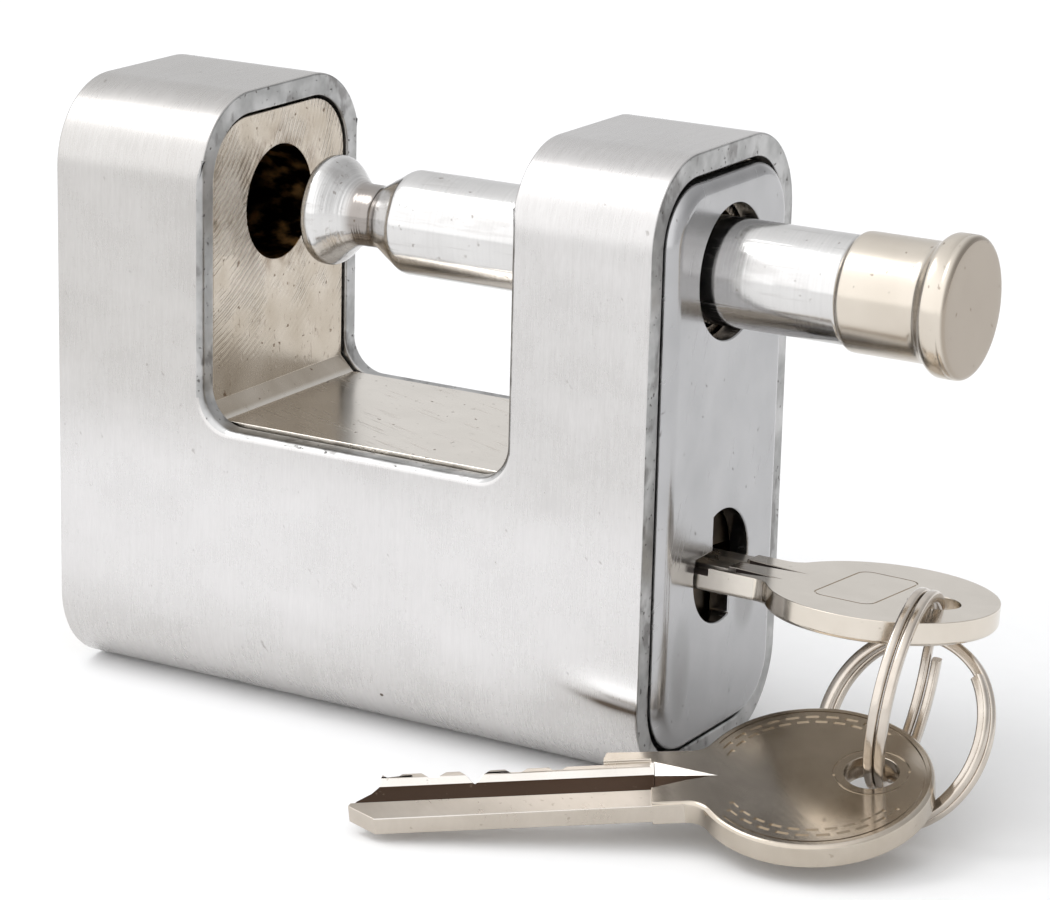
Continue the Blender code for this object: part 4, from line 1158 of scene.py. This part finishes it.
def blade_grooves():
    """The wide groove with its sloped wall and run-out, and two narrow ones behind."""
    low, high, end = -0.00075, 0.00205, 0.0045
    corners = ((TIP, low), (end, low), (end, high), (TIP, high))
    floor = [(x, y, WIDE_FLOOR) for x, y in corners]
    top = [(x, y - 0.00003 if y < 0.0 else 0.0043, OUTSIDE) for x, y in corners]
    ramp = [(0.00445, low, WIDE_FLOOR), (0.0099, 0.0007, 0.00111), (0.00445, high, WIDE_FLOOR)]
    ramp_top = [(0.00445, -0.00078), (0.0107, 0.0012), (0.00445, 0.0043)]
    ramp_top = [(x, y, OUTSIDE) for x, y in ramp_top]
    far = [(TIP, -0.001), (end, -0.001), (0.0105, -0.0003), (end, 0.0005), (TIP, 0.0005)]
    near = [(TIP, 0.0027), (0.005, 0.00275), (0.0097, 0.0032), (0.007, 0.004)]
    near += [(end, 0.0045), (0.0022, 0.0052), (TIP, 0.0052)]
    wide = [loft([floor, top]), loft([ramp, ramp_top])]
    return wide + [groove(outline, -1.0, NARROW_DEPTH) for outline in (far, near)]


def key_mesh():
    cuts = [prism(circle(HOLE_CENTRE, HOLE_RADIUS, 48), "Z", -0.003, 0.003)] + blade_grooves()
    edge = BLADE_HALF + 0.0002
    blade = [(TIP, -0.006), (NECK_START, -0.006), (NECK_START, edge), (TIP, edge)]
    cuts += [groove(blade, 1.0, BLADE_RECESS), groove(blade, -1.0, BLADE_RECESS)]
    eased = ease_edges(carve(rounded_blank(), cuts), 0.00007, limit=28.0)
    stamped = carve(eased, stamped_marks())
    stamped.shade_smooth()
    stamped.set_sharp_from_angle(angle=math.radians(50.0))
    return stamped


KEY_MESH = key_mesh()
print("Key faces:", len(KEY_MESH.polygons))

# %% [markdown]
# ## Placing the two keys
#
# The key in the plug lies upside down. It is rolled four and a half degrees past level and
# sags by one degree. The spare slopes from the rings down to its tip, just over the table.

# %% Key in the plug and spare key
def key_zone(place):
    """0 on the bow, 1 on the blade, 2 down in its grooves, which get a painted shade,
    and 3 on the edges that get a painted highlight.
    """
    x, y, z = place
    wall_top = 0.00083 if x < 0.0 else 0.00108
    wall_foot = 0.0019 - max(x - 0.0045, 0.0) * 0.25
    # Zone 3 gets the painted highlight: the wide groove's far wall, and below it the blade's
    # lower edge.
    if x < 0.01 and 0.00042 < z < wall_top and wall_foot < y < 0.003:
        return 3
    if x < 0.0 and y < -0.00328 and z > 0.00078:
        return 3
    # Zone 2, the groove floors, gets the painted shade.
    if x < 0.01 and -0.0008 < y < 0.0021 and 0.0003 < z < 0.0009:
        return 2
    narrow = -0.00102 < y < 0.00052 or 0.00265 < y < 0.0052
    if 0.0002 < x < 0.0106 and narrow and -0.00102 < z < -0.00035:
        return 2
    return 1 if x < NECK_START else 0


def place_key(name, node, where):
    mesh = KEY_MESH.copy()
    mesh.transform(where)
    flat = where.inverted()
    finishes = [KEY_NICKEL, KEY_CUT, KEY_GROOVE, KEY_EDGE]

    def zone(face):
        return key_zone(flat @ face.center)

    skin(mesh, name, "plug_and_key", [node], finishes, zone)


shoulder = body_high.x + FIT_GAP
middle = -BLADE_LENGTH / 2
level_plug = shift(0.0, 0.0, PLUG_HEIGHT) @ spin(-4.5, "X") @ shift(shoulder + middle)
in_lock = level_plug @ spin(1.0, "Y") @ spin(180.0, "X") @ shift(-middle)
place_key("key_in_plug", "lock_key", in_lock)

turn = spin(28.89, "Z") @ spin(-4.72, "Y") @ spin(14.65, "X")
bow_place = shift(0.050866, -0.014277, 0.005647)
place_key("key_spare", "spare_key", bow_place @ turn @ shift(-BOW_CENTRE))

# %% [markdown]
# ## Inner pieces
#
# The plug, pins, springs, cam and pawl keep the shapes of the solid model. Only their
# finish changes, by filling their material slots.

# %% Dress the inner solids
INNER = {"plug": DARK_PLUG, "chamber_strip": BARE_BRASS}
STEEL_PIECES = (
    "tailpiece", "locking_pawl", "pawl_spring", "stop_ball", "stop_spring",
    "plate_pin_upper", "plate_pin_lower",
)
for node in STEEL_PIECES:
    INNER[node] = INNER_STEEL
for index in range(1, 6):
    INNER["key_pin_%d" % index] = INNER["driver_pin_%d" % index] = BARE_BRASS
    INNER["pin_spring_%d" % index] = INNER_STEEL
for node, finish in INNER.items():
    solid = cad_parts[node]
    solid.data.materials.clear()
    solid.data.materials.append(finish)
print("Dressed", len(INNER), "inner pieces")

# %% [markdown]
# ## Floor and light
#
# The lock stands on a white sweep under soft studio light. Metal shows what it mirrors,
# so the room is almost white all round: brightest at the front left, a little brighter
# above, and darker at the back right. One soft box hangs high at the left.

# %% Floor, soft box and a white room
def floor_finish():
    paper = Finish("white_paper", metallic=0.0)
    fibre = paper.grain(400.0, 3.0)
    paper.paint(fibre, (0.93, 0.93, 0.93), (0.96, 0.96, 0.96))
    return paper.wear(0.85 + fibre * 0.05)


floor_mesh = bpy.data.meshes.new("floor")
floor_mesh.from_pydata([(-4, -4, 0), (4, -4, 0), (4, 4, 0), (-4, 4, 0)], [], [(0, 1, 2, 3)])
floor_mesh.materials.append(floor_finish())
floor = show(floor_mesh, "floor")

BOX_PLACE, BOX_AIM = Vector((-0.38, -0.22, 0.68)), Vector((0.0, 0.0, 0.03))
soft_box = bpy.data.lights.new("soft_box_left", "AREA")
soft_box.shape = "RECTANGLE"
soft_box.size, soft_box.size_y = 0.36, 0.3
soft_box.energy = 1.0
lamp = show(soft_box, "soft_box_left")
aim = (BOX_AIM - BOX_PLACE).to_track_quat("-Z", "Y").to_matrix().to_4x4()
lamp.matrix_world = shift(*BOX_PLACE) @ aim

room = bpy.data.worlds.new("white_room")
scene.world = room
room.use_nodes = True
sky = Tree(room.node_tree)
east, north, up = sky.add("ShaderNodeTexCoord", output="Generated").parts()
front_left = north * -0.85 + east * -0.4
back_right = east * 0.5 + north * 0.6 + up * 0.62
glow = 0.8 + front_left.between(-0.15, 0.75) * 0.75 + up.between(0.35, 0.95) * 0.2
glow = glow * (1.0 - back_right.between(0.62, 0.96) * 0.35)
given = {"Color": (0.985, 0.99, 1.0, 1.0), "Strength": glow}
light = sky.add("ShaderNodeBackground", values=given)
sky.add("ShaderNodeOutputWorld", values={"Surface": light})
scene.view_settings.view_transform = "Standard"

# %% [markdown]
